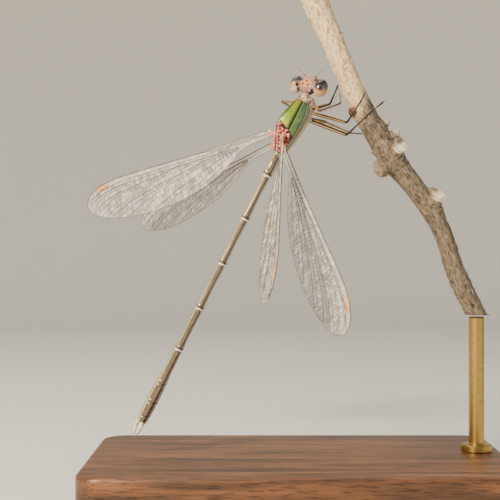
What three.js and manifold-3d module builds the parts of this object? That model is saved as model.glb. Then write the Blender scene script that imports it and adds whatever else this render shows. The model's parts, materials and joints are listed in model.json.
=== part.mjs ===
// Willow spreadwing damselfly, an adult male at life size, perched on a slanting twig.
// The wings are held half open and the abdomen hangs down and back, as the species rests.
// The cut twig stands on a rod over a plain rectangular base.
// Millimetres, +Z up. The origin is the centre of the base's underside.

import * as THREE from 'three';
import { mergeVertices } from 'three/addons/utils/BufferGeometryUtils.js';
import Module from 'manifold-3d';

const wasm = await Module();
wasm.setup();

// Gap kept between two pieces that meet
const GAP = 0.25;
const FINE = 0.5;

// The insect's own frame: +X towards the head, +Y to its left, +Z out of its back
const THORAX_AT = new THREE.Vector3(-0.66, -2.0, 41.28);
const FORWARD = new THREE.Vector3(0.454, 0, 0.891).normalize();
const LEFT = new THREE.Vector3(-0.5847, 0.7546, 0.2979).normalize();

// Head, turned a little to the insect's left
const HEAD_AT = new THREE.Vector3(4.39, 0.47, -0.22);
const HEAD_FORWARD = new THREE.Vector3(0.986, 0.159, -0.045).normalize();
const HEAD_LEFT = new THREE.Vector3(-0.184, 0.967, 0.175).normalize();
const HEAD_WIDE = 5.0;
const EYE = { long: 2.12, tall: 1.72, apart: 3.5 };
// Skull, brow, face, mouth and nape, each an ellipsoid in the head's frame
const HEAD_LOBES = [
  { at: [0, 0, 0.05], halves: [0.92, 1.5, 0.76], around: 20, down: 12 },
  { at: [0.72, 0, 0.05], halves: [0.5, 0.9, 0.5], around: 14, down: 8 },
  { at: [0.85, 0, -0.55], halves: [0.58, 0.85, 0.55], around: 14, down: 8 },
  { at: [0.7, 0, -1.05], halves: [0.52, 0.62, 0.42], around: 12, down: 8 },
  { at: [-0.62, 0, -0.1], halves: [0.4, 0.75, 0.55], around: 12, down: 8 },
];
const OCELLI = { at: [[0.35, 0], [-0.1, 0.34], [-0.1, -0.34]], height: 0.76, radius: 0.16 };
// Feeler of the left side: its root, bend and tip in the head's frame
const ANTENNAE = [
  { name: 'antenna_right', side: -1, points: [[0.95, 0.74, 0.5], [1.4, 0.95, 0.62], [2.0, 1.58, 0.62]] },
  { name: 'antenna_left', side: 1, points: [[0.95, 0.74, 0.5], [1.4, 1.2, 0.75], [1.85, 2.2, 0.95]] },
];
const ANTENNA_RADIUS = { root: 0.27, tip: 0.07 };

// Thorax sections from the waist to the neck: place along the body, half width, top and bottom
const THORAX_SECTIONS = [
  { x: -4.05, wide: 0.56, top: -0.02, low: -0.86 },
  { x: -3.5, wide: 0.86, top: 0.3, low: -1.12 },
  { x: -2.6, wide: 1.06, top: 0.86, low: -1.4 },
  { x: -1.7, wide: 1.2, top: 1.34, low: -1.66 },
  { x: -0.7, wide: 1.31, top: 1.8, low: -1.84 },
  { x: 0.2, wide: 1.34, top: 1.68, low: -1.9 },
  { x: 1.1, wide: 1.27, top: 1.36, low: -1.92 },
  { x: 1.9, wide: 1.08, top: 1.05, low: -1.78 },
  { x: 2.45, wide: 0.72, top: 0.76, low: -1.42 },
];

// Hinges of the fore and hind wing on the left side
const WING_HINGES = [
  { at: [-2.25, 0.78, 0.98], halves: [0.62, 0.36, 0.42] },
  { at: [-3.35, 0.72, 0.1], halves: [0.55, 0.36, 0.4] },
];

// Prothorax: the collar between the thorax and the head
const COLLAR = { from: [2.72, 0, -0.42], to: [3.42, 0.16, -0.3], wide: 0.72, tall: 0.78, drop: 0.1 };
// Hip segments: length, radius at the body and at the leg, and how far in they start
const COXA = { long: 0.8, radius: 0.42, taper: 0.1, inward: 0.45, lift: 0.65 };

// Abdomen: where each of the ten rings ends, behind the thorax centre, and its half widths
const ABDOMEN_START = -4.32;
const ABDOMEN_AXIS_Z = -0.3;
const ABDOMEN_RINGS = [
  { end: -5.0, front: 0.44, waist: 0.52, back: 0.56 },
  { end: -6.85, front: 0.56, waist: 0.6, back: 0.52 },
  { end: -12.4, front: 0.5, waist: 0.4, back: 0.5 },
  { end: -18.1, front: 0.5, waist: 0.41, back: 0.5 },
  { end: -23.8, front: 0.5, waist: 0.42, back: 0.5 },
  { end: -29.0, front: 0.5, waist: 0.44, back: 0.53 },
  { end: -33.4, front: 0.52, waist: 0.52, back: 0.64 },
  { end: -35.8, front: 0.62, waist: 0.66, back: 0.68 },
  { end: -37.5, front: 0.66, waist: 0.65, back: 0.62 },
  { end: -38.4, front: 0.58, waist: 0.58, back: 0.5 },
];
const CERCUS = { long: 1.55, root: 0.27, tip: 0.14, spread: 0.3, bow: 0.42 };

// Wings: root in the insect's frame, the way the wing points and the way its chord runs back
const FORE_LONG = 25.5;
const HIND_LONG = 24.5;
const WINGS = [
  {
    name: 'forewing_left', long: FORE_LONG, side: 1, root: [-2.5, 1.25, 1.2],
    span: [-0.67, 0.708, 0.221], chord: [-0.701, -0.507, -0.502],
  },
  {
    name: 'forewing_right', long: FORE_LONG, side: -1, root: [-2.5, -1.25, 1.2],
    span: [-0.637, -0.709, 0.302], chord: [-0.758, 0.505, -0.413],
  },
  {
    name: 'hindwing_left', long: HIND_LONG, side: 1, root: [-3.65, 1.25, 0.14],
    span: [-0.602, 0.792, -0.1], chord: [-0.797, -0.603, 0.018],
  },
  {
    name: 'hindwing_right', long: HIND_LONG, side: -1, root: [-3.65, -1.25, 0.14],
    span: [-0.601, -0.798, -0.054], chord: [-0.778, 0.599, -0.191],
  },
];
const MEMBRANE = 0.5;
// Lines along the wing, as shares of the chord from the leading edge, and how far each stands up:
// the costa, the radius, two median veins and the cubitus, with plain membrane between them
const WING_LINES = [
  { share: 0, rise: 0.1 },
  { share: 0.06, rise: 0 },
  { share: 0.13, rise: 0.12 },
  { share: 0.23, rise: 0 },
  { share: 0.36, rise: 0.09 },
  { share: 0.47, rise: 0 },
  { share: 0.58, rise: 0.08 },
  { share: 0.7, rise: 0 },
  { share: 0.82, rise: 0.06 },
  { share: 1, rise: 0 },
];
const WING_SPANS = 28;
// How much wider the first of those steps is than the last ones, which round the tip
const SPAN_EASE = 0.4;
// The coloured cell near the tip, between the costa and the radius
const STIGMA = { from: 0.865, to: 0.93, rise: 0.14 };

// Wing outline along the span: distance of the leading and trailing edge from the wing's axis
const LEADING_EDGE = [
  [0, 0.42], [0.12, 0.6], [0.3, 0.86], [0.5, 1.29], [0.7, 1.76], [0.83, 1.94],
  [0.92, 1.68], [0.95, 1.42], [0.975, 1.08], [0.99, 0.68], [1, 0.1],
];
const TRAILING_EDGE = [
  [0, 0.42], [0.14, 0.5], [0.22, 1.5], [0.34, 2.75], [0.48, 3.38], [0.66, 3.5],
  [0.82, 2.9], [0.92, 2.08], [0.95, 1.7], [0.975, 1.3], [0.99, 0.8], [1, 0.1],
];

// Legs: hip, knee, ankle and claw in the insect's frame
const LEGS = [
  {
    name: 'leg_fore_right',
    points: [[2.85, -0.5, -1.3], [2.3, -1.75, -1.35], [4.6, -1.1, -4.3], [5.8, 0.05, -4.45]],
  },
  {
    name: 'leg_fore_left',
    points: [[2.85, 0.5, -1.3], [1.7, 2.89, 0.43], [1.74, 2.6, -2.41], [2.69, 2.5, -3.22]],
  },
  {
    name: 'leg_mid_right',
    points: [[1.9, -0.7, -1.65], [2.72, -3.23, -4.63], [5.88, -2.4, -5.81], [7.04, -2.09, -6.06]],
  },
  {
    name: 'leg_mid_left',
    points: [[1.9, 0.7, -1.65], [4.16, 0.64, -4.45], [6.59, 1.64, -5.13], [7.83, 2.71, -6.02]],
  },
  {
    name: 'leg_hind_right',
    points: [[1.0, -0.75, -1.75], [1.46, -3.79, -4.96], [5.38, -3.67, -6.89], [7.18, -3.7, -7.91]],
  },
  {
    name: 'leg_hind_left',
    points: [[1.0, 0.75, -1.75], [2.3, 1.71, -5.96], [2.47, -0.71, -8.28], [2.91, -1.86, -8.84]],
  },
];
const FEMUR_THICK = 0.58;
const TIBIA_THICK = 0.5;
const TARSUS_THICK = 0.5;
const CLAW_THICK = 0.3;

// Perch: the twig's middle line and its diameter along it
const TWIG_DEPTH = 2.0;
const TWIG_LINE = [
  [1.78, 56.65], [4.13, 51.25], [7.2, 44.21], [10.47, 38.34], [14.46, 33.06],
  [16.69, 29.53], [18.83, 23.67], [21.03, 19.09], [21.6, 17.9],
];
const TWIG_FOOT = { x: 21.1, z: 19.0 };
const TWIG_DIAMETERS = [
  [0, 3.3], [0.12, 2.8], [0.3, 2.65], [0.45, 2.8],
  [0.56, 2.6], [0.72, 2.25], [0.85, 2.35], [1, 2.45],
];
const TWIG_CUT = 0.53;

// Buds, leaf scars and stubs on the twig: place along it, degrees round it from its upper right side,
// reach from the middle line, lean towards the twig's top, and radii at the root and the end
const KNOBS = [
  { place: 0.341, turn: 208, reach: 1.75, lean: 0.2, root: 0.7, end: 0.5 },
  { place: 0.408, turn: 352, reach: 2.3, lean: 0.5, root: 0.65, end: 0.24 },
  { place: 0.453, turn: 350, reach: 2.75, lean: 0.7, root: 0.75, end: 0.22 },
  { place: 0.479, turn: 322, reach: 2.4, lean: 0.2, root: 1.1, end: 0.92 },
  { place: 0.452, turn: 178, reach: 1.9, lean: 0.3, root: 0.5, end: 0.18 },
  { place: 0.503, turn: 203, reach: 2.6, lean: 0.45, root: 0.95, end: 0.88 },
  { place: 0.657, turn: 338, reach: 2.15, lean: 1.0, root: 1.15, end: 1.1 },
  { place: 0.862, turn: 180, reach: 1.4, lean: 0.2, root: 0.45, end: 0.25 },
  { place: 0.888, turn: 182, reach: 1.4, lean: 0.2, root: 0.5, end: 0.28 },
];

// Stand
const BASE = { long: 48, deep: 26, tall: 3, corner: 3 };
const ROD_THICK = 1.8;

const COLOURS = {
  thorax: { color: 0x5f7a2c, roughness: 0.35, metalness: 0.6 },
  abdomen: { color: 0x5d4a2c, roughness: 0.4, metalness: 0.5 },
  head: { color: 0xa07258, roughness: 0.5, metalness: 0.2 },
  eye: { color: 0x8c7a5c, roughness: 0.15, metalness: 0 },
  leg: { color: 0xa58a52, roughness: 0.5, metalness: 0 },
  wing: { color: 0xc9cbbb, roughness: 0.2, metalness: 0 },
  cream: { color: 0xe8dcb8, roughness: 0.4, metalness: 0 },
  bark: { color: 0xb09670, roughness: 0.9, metalness: 0 },
  wood: { color: 0x7a5230, roughness: 0.5, metalness: 0 },
  brass: { color: 0xb59a5a, roughness: 0.3, metalness: 1 },
};

/** Turns a finish into a material. */
function finish(name) {
  return new THREE.MeshStandardMaterial(COLOURS[name]);
}

/** Reads a value from a table of [place, value] pairs, smoothly between them. */
function along(table, place) {
  const last = table.length - 1;
  let i = 0;
  while (i < last - 1 && place > table[i + 1][0]) {
    i += 1;
  }
  const [x0, y0] = table[i];
  const [x1, y1] = table[i + 1];
  const t = Math.min(1, Math.max(0, (place - x0) / (x1 - x0)));
  const before = i > 0 ? (y1 - table[i - 1][1]) / (x1 - table[i - 1][0]) : (y1 - y0) / (x1 - x0);
  const after = i < last - 1 ? (table[i + 2][1] - y0) / (table[i + 2][0] - x0) : (y1 - y0) / (x1 - x0);
  const h = x1 - x0;
  const t2 = t * t;
  const t3 = t2 * t;
  return (2 * t3 - 3 * t2 + 1) * y0 + (t3 - 2 * t2 + t) * h * before
    + (3 * t2 - 2 * t3) * y1 + (t3 - t2) * h * after;
}

/** Keeps only positions and shared vertices. */
function bare(geometry) {
  const plain = new THREE.BufferGeometry();
  plain.setAttribute('position', geometry.getAttribute('position').clone());
  if (geometry.index) {
    plain.setIndex(geometry.index.clone());
  }
  return mergeVertices(plain, 1e-4);
}

/** A cylinder bent along a curve. section(t, angle) gives the offset across (x) and up (y). */
function sweep(curve, up, section, sides, steps) {
  const tube = new THREE.CylinderGeometry(1, 1, 1, sides, steps);
  const position = tube.getAttribute('position');
  const point = new THREE.Vector3();
  const tangent = new THREE.Vector3();
  for (let i = 0; i < position.count; i += 1) {
    const t = Math.min(1, Math.max(0, position.getY(i) + 0.5));
    const across = position.getX(i);
    const rise = position.getZ(i);
    const reach = Math.hypot(across, rise);
    curve.getPoint(t, point);
    curve.getTangent(t, tangent);
    const lift = up.clone().addScaledVector(tangent, -up.dot(tangent)).normalize();
    const side = tangent.clone().cross(lift);
    const offset = section(t, Math.atan2(rise, across));
    point.addScaledVector(side, offset.x * Math.min(1, reach));
    point.addScaledVector(lift, offset.y * Math.min(1, reach));
    position.setXYZ(i, point.x, point.y, point.z);
  }
  return bare(tube);
}

/** A round section whose radius is a function of t. */
function round(radius) {
  return (t, angle) => new THREE.Vector2(Math.cos(angle), Math.sin(angle)).multiplyScalar(radius(t));
}

/** How much a rounded end narrows at t on a piece of the given length and end radius. */
function rounded(t, long, reach) {
  const near = Math.min(t, 1 - t) * long;
  if (near >= reach) return 1;
  const k = 1 - near / reach;
  return Math.sqrt(Math.max(0.12, 1 - k * k));
}

/** A straight line between two points as a curve. */
function line(from, to) {
  return new THREE.LineCurve3(from.clone(), to.clone());
}

/** A solid from a bare geometry. */
function solid(geometry) {
  return new wasm.Manifold(new wasm.Mesh({
    numProp: 3,
    vertProperties: new Float32Array(geometry.getAttribute('position').array),
    triVerts: new Uint32Array(geometry.index.array),
  }));
}

/** A bare geometry from the largest closed body of a solid. */
function largest(body) {
  const parts = body.decompose();
  parts.sort((a, b) => b.volume() - a.volume());
  const mesh = parts[0].getMesh();
  const geometry = new THREE.BufferGeometry();
  geometry.setAttribute('position', new THREE.BufferAttribute(new Float32Array(mesh.vertProperties), 3));
  geometry.setIndex(new THREE.BufferAttribute(new Uint32Array(mesh.triVerts), 1));
  return geometry;
}

/** Fuses several geometries into one closed body. */
function fuse(geometries) {
  return largest(geometries.map(solid).reduce((a, b) => a.add(b)));
}

/** A named sub-part. */
function piece(name, geometry, finishName) {
  const mesh = new THREE.Mesh(geometry, finish(finishName));
  mesh.name = name;
  return mesh;
}

/** An ellipsoid at a place, with its three half lengths. */
function ellipsoid(at, halves, around, down) {
  const ball = new THREE.SphereGeometry(1, around, down);
  ball.rotateX(Math.PI / 2);
  ball.scale(halves[0], halves[1], halves[2]);
  ball.translate(at[0], at[1], at[2]);
  return bare(ball);
}

/** Places a group by a frame of three directions. */
function setFrame(group, at, forward, left) {
  const x = forward.clone().normalize();
  const y = left.clone().addScaledVector(x, -left.dot(x)).normalize();
  const z = x.clone().cross(y);
  group.quaternion.setFromRotationMatrix(new THREE.Matrix4().makeBasis(x, y, z));
  group.position.copy(at);
}

// Thorax: a keel along the back, flat sides and a skewed, deep breast
function thoraxShape() {
  const tables = {};
  for (const key of ['wide', 'top', 'low']) {
    tables[key] = THORAX_SECTIONS.map((s) => [s.x, s[key]]);
  }
  const first = THORAX_SECTIONS[0].x;
  const last = THORAX_SECTIONS[THORAX_SECTIONS.length - 1].x;
  const section = (t, angle) => {
    const x = first + t * (last - first);
    const wide = along(tables.wide, x);
    const top = along(tables.top, x);
    const low = along(tables.low, x);
    const middle = low + 0.45 * (top - low);
    const sine = Math.sin(angle);
    const cosine = Math.cos(angle);
    const keel = sine > 0 ? 1 - 0.1 * Math.pow(Math.abs(Math.sin(2 * angle)), 1.5) : 1;
    const half = sine > 0 ? top - middle : middle - low;
    return new THREE.Vector2(cosine * wide * keel, middle + sine * half * keel);
  };
  const axis = line(new THREE.Vector3(first, 0, 0), new THREE.Vector3(last, 0, 0));
  return sweep(axis, new THREE.Vector3(0, 0, 1), section, 24, 14);
}

/** A short hip segment that carries a leg. */
function coxa(hip, side) {
  const from = new THREE.Vector3(hip[0], hip[1] * COXA.inward, hip[2] + COXA.lift);
  const to = new THREE.Vector3(hip[0], hip[1], hip[2]);
  const radius = (t) => (COXA.radius - COXA.taper * t) * rounded(t, COXA.long, 0.15);
  return sweep(line(from, to), new THREE.Vector3(1, 0, 0.1 * side), round(radius), 10, 4);
}

function makeThorax() {
  const pieces = [thoraxShape()];
  for (const side of [-1, 1]) {
    for (const hinge of WING_HINGES) {
      const [x, y, z] = hinge.at;
      pieces.push(ellipsoid([x, side * y, z], hinge.halves, 12, 8));
    }
  }
  for (const leg of LEGS) {
    if (!leg.name.includes('fore')) {
      pieces.push(coxa(leg.points[0], Math.sign(leg.points[0][1])));
    }
  }
  return piece('synthorax', fuse(pieces), 'thorax');
}

function makeProthorax() {
  const axis = line(new THREE.Vector3(...COLLAR.from), new THREE.Vector3(...COLLAR.to));
  const section = (t, angle) => {
    const swell = rounded(t, 0.7, 0.2);
    const tall = (COLLAR.tall - 0.12 * t) * swell;
    return new THREE.Vector2(Math.cos(angle) * COLLAR.wide * swell, Math.sin(angle) * tall - COLLAR.drop);
  };
  const collar = sweep(axis, new THREE.Vector3(0, 0, 1), section, 16, 6);
  const pieces = [collar];
  for (const leg of LEGS) {
    if (leg.name.includes('fore')) {
      pieces.push(coxa(leg.points[0], Math.sign(leg.points[0][1])));
    }
  }
  return piece('prothorax', fuse(pieces), 'head');
}

function makeAbdomen() {
  const meshes = [];
  let start = ABDOMEN_START;
  ABDOMEN_RINGS.forEach((ring, index) => {
    const long = start - ring.end - GAP;
    const profile = [new THREE.Vector2(0, 0)];
    const steps = long > 3 ? 7 : 4;
    const lip = 0.12;
    profile.push(new THREE.Vector2(ring.front - 0.07, 0));
    profile.push(new THREE.Vector2(ring.front, lip));
    for (let i = 1; i < steps; i += 1) {
      const t = i / steps;
      const radius = t < 0.5 ? along([[0, ring.front], [0.25, ring.waist], [0.5, ring.waist]], t)
        : along([[0.5, ring.waist], [0.8, (ring.waist + ring.back) / 2], [1, ring.back]], t);
      profile.push(new THREE.Vector2(radius, lip + (long - 2 * lip) * t));
    }
    profile.push(new THREE.Vector2(ring.back, long - lip));
    profile.push(new THREE.Vector2(ring.back - 0.07, long));
    profile.push(new THREE.Vector2(0, long));
    const lathe = new THREE.LatheGeometry(profile, 14);
    lathe.rotateZ(Math.PI / 2);
    const mesh = piece(`abdomen_${String(index + 1).padStart(2, '0')}`, bare(lathe), 'abdomen');
    mesh.position.set(start, 0, ABDOMEN_AXIS_Z);
    meshes.push(mesh);
    start = ring.end;
  });
  return meshes;
}

/** One of the two claspers at the tail, bowed outwards with its tip bent in. */
function makeCercus(side) {
  const rootX = ABDOMEN_RINGS[ABDOMEN_RINGS.length - 1].end - GAP * 0.4;
  const at = (x, y, z) => new THREE.Vector3(rootX - x, side * y, ABDOMEN_AXIS_Z + z);
  const curve = new THREE.CatmullRomCurve3([
    at(0, CERCUS.spread, 0.16),
    at(CERCUS.long * 0.35, CERCUS.spread + 0.2, 0.16),
    at(CERCUS.long * 0.72, CERCUS.bow + 0.04, 0.08),
    at(CERCUS.long, CERCUS.tip + 0.12, 0),
  ]);
  const radius = (t) => (CERCUS.root + (CERCUS.tip - CERCUS.root) * t) * rounded(t, CERCUS.long, 0.12);
  const geometry = sweep(curve, new THREE.Vector3(0, 0, 1), round(radius), 10, 9);
  return piece(side > 0 ? 'cercus_left' : 'cercus_right', geometry, 'cream');
}

/** A wing as one grid, the same on both faces, so that its ridges rise in the membrane itself. */
function wingGeometry(wing) {
  const spans = WING_SPANS;
  const start = GAP / wing.long;
  const columns = WING_LINES.length;
  const corners = [];
  for (let i = 0; i <= spans; i += 1) {
    const t = i / spans;
    const s = start + (1 - start) * t * (1 + SPAN_EASE - SPAN_EASE * t);
    const lead = along(LEADING_EDGE, s);
    const trail = along(TRAILING_EDGE, s);
    const taper = Math.min(1, 0.4 + 8 * (1 - s));
    const ridge = Math.min(1, s / 0.12);
    for (let j = 0; j < columns; j += 1) {
      const y = lead - (lead + trail) * WING_LINES[j].share;
      const inStigma = s > STIGMA.from && s < STIGMA.to && j < 3;
      const rise = inStigma ? STIGMA.rise : WING_LINES[j].rise * ridge;
      corners.push({ x: s * wing.long, y, half: (MEMBRANE / 2 + rise) * taper });
    }
  }
  const count = corners.length;
  const positions = [];
  for (const side of [1, -1]) {
    for (const c of corners) {
      positions.push(c.x, c.y, side * c.half);
    }
  }
  const index = [];
  const quad = (a, b, c, d) => index.push(a, b, c, a, c, d);
  for (let i = 0; i < spans; i += 1) {
    for (let j = 0; j < columns - 1; j += 1) {
      const a = i * columns + j;
      const b = a + columns;
      index.push(a, a + 1, b, b, a + 1, b + 1);
      index.push(count + a, count + b, count + a + 1, count + b, count + b + 1, count + a + 1);
    }
    const a = i * columns;
    const b = a + columns;
    quad(a, b, count + b, count + a);
    const c = a + columns - 1;
    const d = b + columns - 1;
    quad(c, count + c, count + d, d);
  }
  for (let j = 0; j < columns - 1; j += 1) {
    quad(j, count + j, count + j + 1, j + 1);
    const e = spans * columns + j;
    quad(e, e + 1, count + e + 1, count + e);
  }
  const geometry = new THREE.BufferGeometry();
  geometry.setAttribute('position', new THREE.Float32BufferAttribute(positions, 3));
  geometry.setIndex(index);
  if (wing.side < 0) flip(geometry);
  return geometry;
}

/** Mirrors a geometry across its XZ plane and keeps its faces pointing out. */
function flip(geometry) {
  geometry.scale(1, -1, 1);
  const index = geometry.index;
  for (let i = 0; i < index.count; i += 3) {
    const b = index.getX(i + 1);
    index.setX(i + 1, index.getX(i + 2));
    index.setX(i + 2, b);
  }
}

function makeWing(wing) {
  const span = new THREE.Vector3(...wing.span);
  const back = new THREE.Vector3(...wing.chord);
  const group = new THREE.Group();
  const left = wing.side > 0 ? back.clone().negate() : back;
  setFrame(group, new THREE.Vector3(...wing.root), span, left);
  group.add(piece(wing.name, wingGeometry(wing), 'wing'));
  return group;
}

/** One straight piece of a leg between two joints, shortened at both ends by the joint gap. */
function legPiece(from, to, thick, tipThick) {
  const way = to.clone().sub(from).normalize();
  const start = from.clone().addScaledVector(way, GAP * 0.9);
  const end = to.clone().addScaledVector(way, -GAP * 0.9);
  const long = start.distanceTo(end);
  const radius = (t) => (thick + (tipThick - thick) * t) / 2 * rounded(t, long, 0.16);
  const up = Math.abs(way.z) > 0.9 ? new THREE.Vector3(1, 0, 0) : new THREE.Vector3(0, 0, 1);
  return sweep(line(start, end), up, round(radius), 8, 7);
}

function makeLeg(leg) {
  const [hip, knee, ankle, claw] = leg.points.map((p) => new THREE.Vector3(...p));
  const set = (part, geometry) => piece(`${leg.name}_${part}`, geometry, 'leg');
  return [
    set('femur', legPiece(hip, knee, FEMUR_THICK, FINE)),
    set('tibia', legPiece(knee, ankle, TIBIA_THICK, FINE)),
    set('tarsus', legPiece(ankle, claw, TARSUS_THICK, CLAW_THICK)),
  ];
}

function makeHead() {
  const group = new THREE.Group();
  setFrame(group, HEAD_AT, HEAD_FORWARD, HEAD_LEFT);
  const between = EYE.apart / 2;
  const lobes = HEAD_LOBES.map((lobe) => solid(ellipsoid(lobe.at, lobe.halves, lobe.around, lobe.down)));
  let head = lobes.reduce((a, b) => a.add(b));
  const dot = [OCELLI.radius, OCELLI.radius, OCELLI.radius];
  for (const [x, y] of OCELLI.at) {
    head = head.add(solid(ellipsoid([x, y, OCELLI.height], dot, 8, 6)));
  }
  for (const side of [-1, 1]) {
    const at = [0, side * between, 0];
    const halves = [EYE.long / 2, HEAD_WIDE / 2 - between, EYE.tall / 2];
    const socket = ellipsoid(at, halves.map((h) => h + GAP), 20, 14);
    head = head.subtract(solid(socket));
    group.add(piece(side > 0 ? 'eye_left' : 'eye_right', ellipsoid(at, halves, 20, 14), 'eye'));
  }
  group.add(piece('head', largest(head), 'head'));
  for (const antenna of ANTENNAE) {
    const corners = antenna.points.map(([x, y, z]) => new THREE.Vector3(x, antenna.side * y, z));
    const curve = new THREE.QuadraticBezierCurve3(...corners);
    const radius = (t) => ANTENNA_RADIUS.root + (ANTENNA_RADIUS.tip - ANTENNA_RADIUS.root) * Math.sqrt(t);
    const feeler = sweep(curve, new THREE.Vector3(0, 1, 0), round(radius), 8, 8);
    group.add(piece(antenna.name, feeler, 'head'));
  }
  return group;
}

/** A block whose top is the level cut at the twig's lower end. */
function levelCut() {
  const block = new THREE.BoxGeometry(10, 10, 6);
  block.translate(TWIG_FOOT.x, TWIG_DEPTH, TWIG_FOOT.z - 3);
  return bare(block);
}

/** A bud or stub that grows out of the twig's middle line. */
function knobShape(whole, knob) {
  const at = whole.getPointAt(knob.place);
  const tangent = whole.getTangentAt(knob.place);
  const back = new THREE.Vector3(0, 1, 0);
  const side = tangent.clone().cross(back);
  const turn = THREE.MathUtils.degToRad(knob.turn);
  const tip = at.clone().addScaledVector(side, Math.cos(turn) * knob.reach);
  tip.addScaledVector(back, Math.sin(turn) * knob.reach).addScaledVector(tangent, -knob.lean);
  const long = at.distanceTo(tip);
  const radius = (t) => {
    const plain = knob.root + (knob.end - knob.root) * t * t;
    return plain * (t > 0.5 ? rounded(t, long, 0.2) : 1);
  };
  return sweep(line(at, tip), tangent, round(radius), 9, 5);
}

function makePerch() {
  const points = TWIG_LINE.map(([x, z]) => new THREE.Vector3(x, TWIG_DEPTH, z));
  const whole = new THREE.CatmullRomCurve3(points);
  const lengths = whole.getLength();
  const meshes = [];
  const parts = [['perch_upper', 0, TWIG_CUT], ['perch_lower', TWIG_CUT, 1]];
  for (const [name, from, to] of parts) {
    const start = from + (from > 0 ? GAP / lengths : 0);
    const curve = new THREE.Curve();
    const share = (t) => start + (to - start) * t;
    curve.getPoint = (t, target = new THREE.Vector3()) => whole.getPointAt(share(t), target);
    const radius = (t) => along(TWIG_DIAMETERS, share(t)) / 2;
    let twig = solid(sweep(curve, new THREE.Vector3(0, 1, 0), round(radius), 18, 16));
    for (const knob of KNOBS) {
      if (knob.place > from && knob.place < to) {
        twig = twig.add(solid(knobShape(whole, knob)));
      }
    }
    if (to === 1) {
      twig = twig.subtract(solid(levelCut()));
    }
    meshes.push(piece(name, largest(twig), 'bark'));
  }
  return meshes;
}

function makeStand() {
  const half = { x: BASE.long / 2, y: BASE.deep / 2 };
  const outline = new THREE.Shape();
  outline.moveTo(-half.x + BASE.corner, -half.y);
  outline.lineTo(half.x - BASE.corner, -half.y);
  outline.absarc(half.x - BASE.corner, -half.y + BASE.corner, BASE.corner, -Math.PI / 2, 0);
  outline.absarc(half.x - BASE.corner, half.y - BASE.corner, BASE.corner, 0, Math.PI / 2);
  outline.absarc(-half.x + BASE.corner, half.y - BASE.corner, BASE.corner, Math.PI / 2, Math.PI);
  outline.absarc(-half.x + BASE.corner, -half.y + BASE.corner, BASE.corner, Math.PI, 1.5 * Math.PI);
  const block = { depth: BASE.tall, bevelEnabled: false, curveSegments: 6 };
  const plate = new THREE.ExtrudeGeometry(outline, block);
  const top = TWIG_FOOT.z - GAP;
  const bottom = BASE.tall + GAP;
  const rod = new THREE.CylinderGeometry(ROD_THICK / 2, ROD_THICK / 2, top - bottom, 16);
  rod.rotateX(Math.PI / 2);
  rod.translate(TWIG_FOOT.x, TWIG_DEPTH, (top + bottom) / 2);
  return [piece('stand_base', bare(plate), 'wood'), piece('stand_rod', bare(rod), 'brass')];
}

const model = new THREE.Group();
const insect = new THREE.Group();
setFrame(insect, THORAX_AT, FORWARD, LEFT);
insect.add(makeThorax(), makeProthorax(), makeHead());
insect.add(...makeAbdomen(), makeCercus(1), makeCercus(-1));
insect.add(...WINGS.map(makeWing), ...LEGS.flatMap(makeLeg));
model.add(insect, ...makePerch(), ...makeStand());

export default model;
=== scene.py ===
"""Willow spreadwing damselfly, an adult male at life size, as a still display model.

The insect clings to a cut twig with its wings half open and its tail hanging down and back.
The twig stands on a brass rod over an oiled walnut base. Lengths are in millimetres and become
metres when a mesh is written. The insect's own frame has +X to the head, +Y to its left and +Z out
of its back.
"""
import json
import logging
import math
from dataclasses import dataclass, field
from enum import Enum
from functools import partial
from typing import Any, Callable, ClassVar, Sequence

import bpy
import numpy as np
from mathutils import Matrix, Vector, noise

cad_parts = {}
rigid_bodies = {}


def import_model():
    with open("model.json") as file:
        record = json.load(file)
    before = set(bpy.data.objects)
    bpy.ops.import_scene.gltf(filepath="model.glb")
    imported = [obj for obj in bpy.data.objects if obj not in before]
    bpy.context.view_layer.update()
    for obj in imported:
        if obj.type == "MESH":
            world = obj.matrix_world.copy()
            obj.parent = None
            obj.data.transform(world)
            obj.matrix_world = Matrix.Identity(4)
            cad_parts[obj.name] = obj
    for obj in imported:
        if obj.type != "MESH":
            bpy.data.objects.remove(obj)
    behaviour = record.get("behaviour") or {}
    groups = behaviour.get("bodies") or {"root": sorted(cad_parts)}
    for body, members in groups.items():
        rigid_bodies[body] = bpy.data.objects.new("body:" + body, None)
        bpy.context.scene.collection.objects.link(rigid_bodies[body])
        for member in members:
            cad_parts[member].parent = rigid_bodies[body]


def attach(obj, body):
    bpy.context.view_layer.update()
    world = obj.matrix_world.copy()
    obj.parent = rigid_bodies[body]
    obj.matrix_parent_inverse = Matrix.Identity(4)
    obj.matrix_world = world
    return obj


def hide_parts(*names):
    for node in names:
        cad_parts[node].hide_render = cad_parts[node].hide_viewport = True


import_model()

logging.basicConfig(level=logging.INFO, format="%(name)s: %(message)s")
LOG = logging.getLogger("damselfly")

MM = 0.001
SEED = 7
BOTH_SIDES = (1, -1)
# Settings of Mix and Math nodes
RGBA = {"data_type": "RGBA"}
MULTIPLY_ADD = {"operation": "MULTIPLY_ADD"}

# Shared forms, the same values as the solids use
THORAX_AT = (-0.66, -2.0, 41.28)
FORWARD = (0.454, 0.0, 0.891)
LEFT = (-0.5847, 0.7546, 0.2979)
HEAD_AT = (4.39, 0.47, -0.22)
HEAD_FORWARD = (0.986, 0.159, -0.045)
HEAD_LEFT = (-0.184, 0.967, 0.175)

Table = Sequence[tuple[float, float]]
Point = tuple[float, float, float]
Faces = list[tuple[int, ...]]
Add = Callable[..., bpy.types.Node]
Socket = bpy.types.NodeSocket


class Side(Enum):
    """Which side of the insect a piece is on; the value is the sign of its Y."""

    LEFT = 1
    RIGHT = -1

    @property
    def word(self) -> str:
        """The side's name in a piece's name."""
        return self.name.lower()


class WingPair(Enum):
    """Front or rear pair of wings, by the word in the piece's name."""

    FORE = "forewing"
    HIND = "hindwing"


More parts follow.
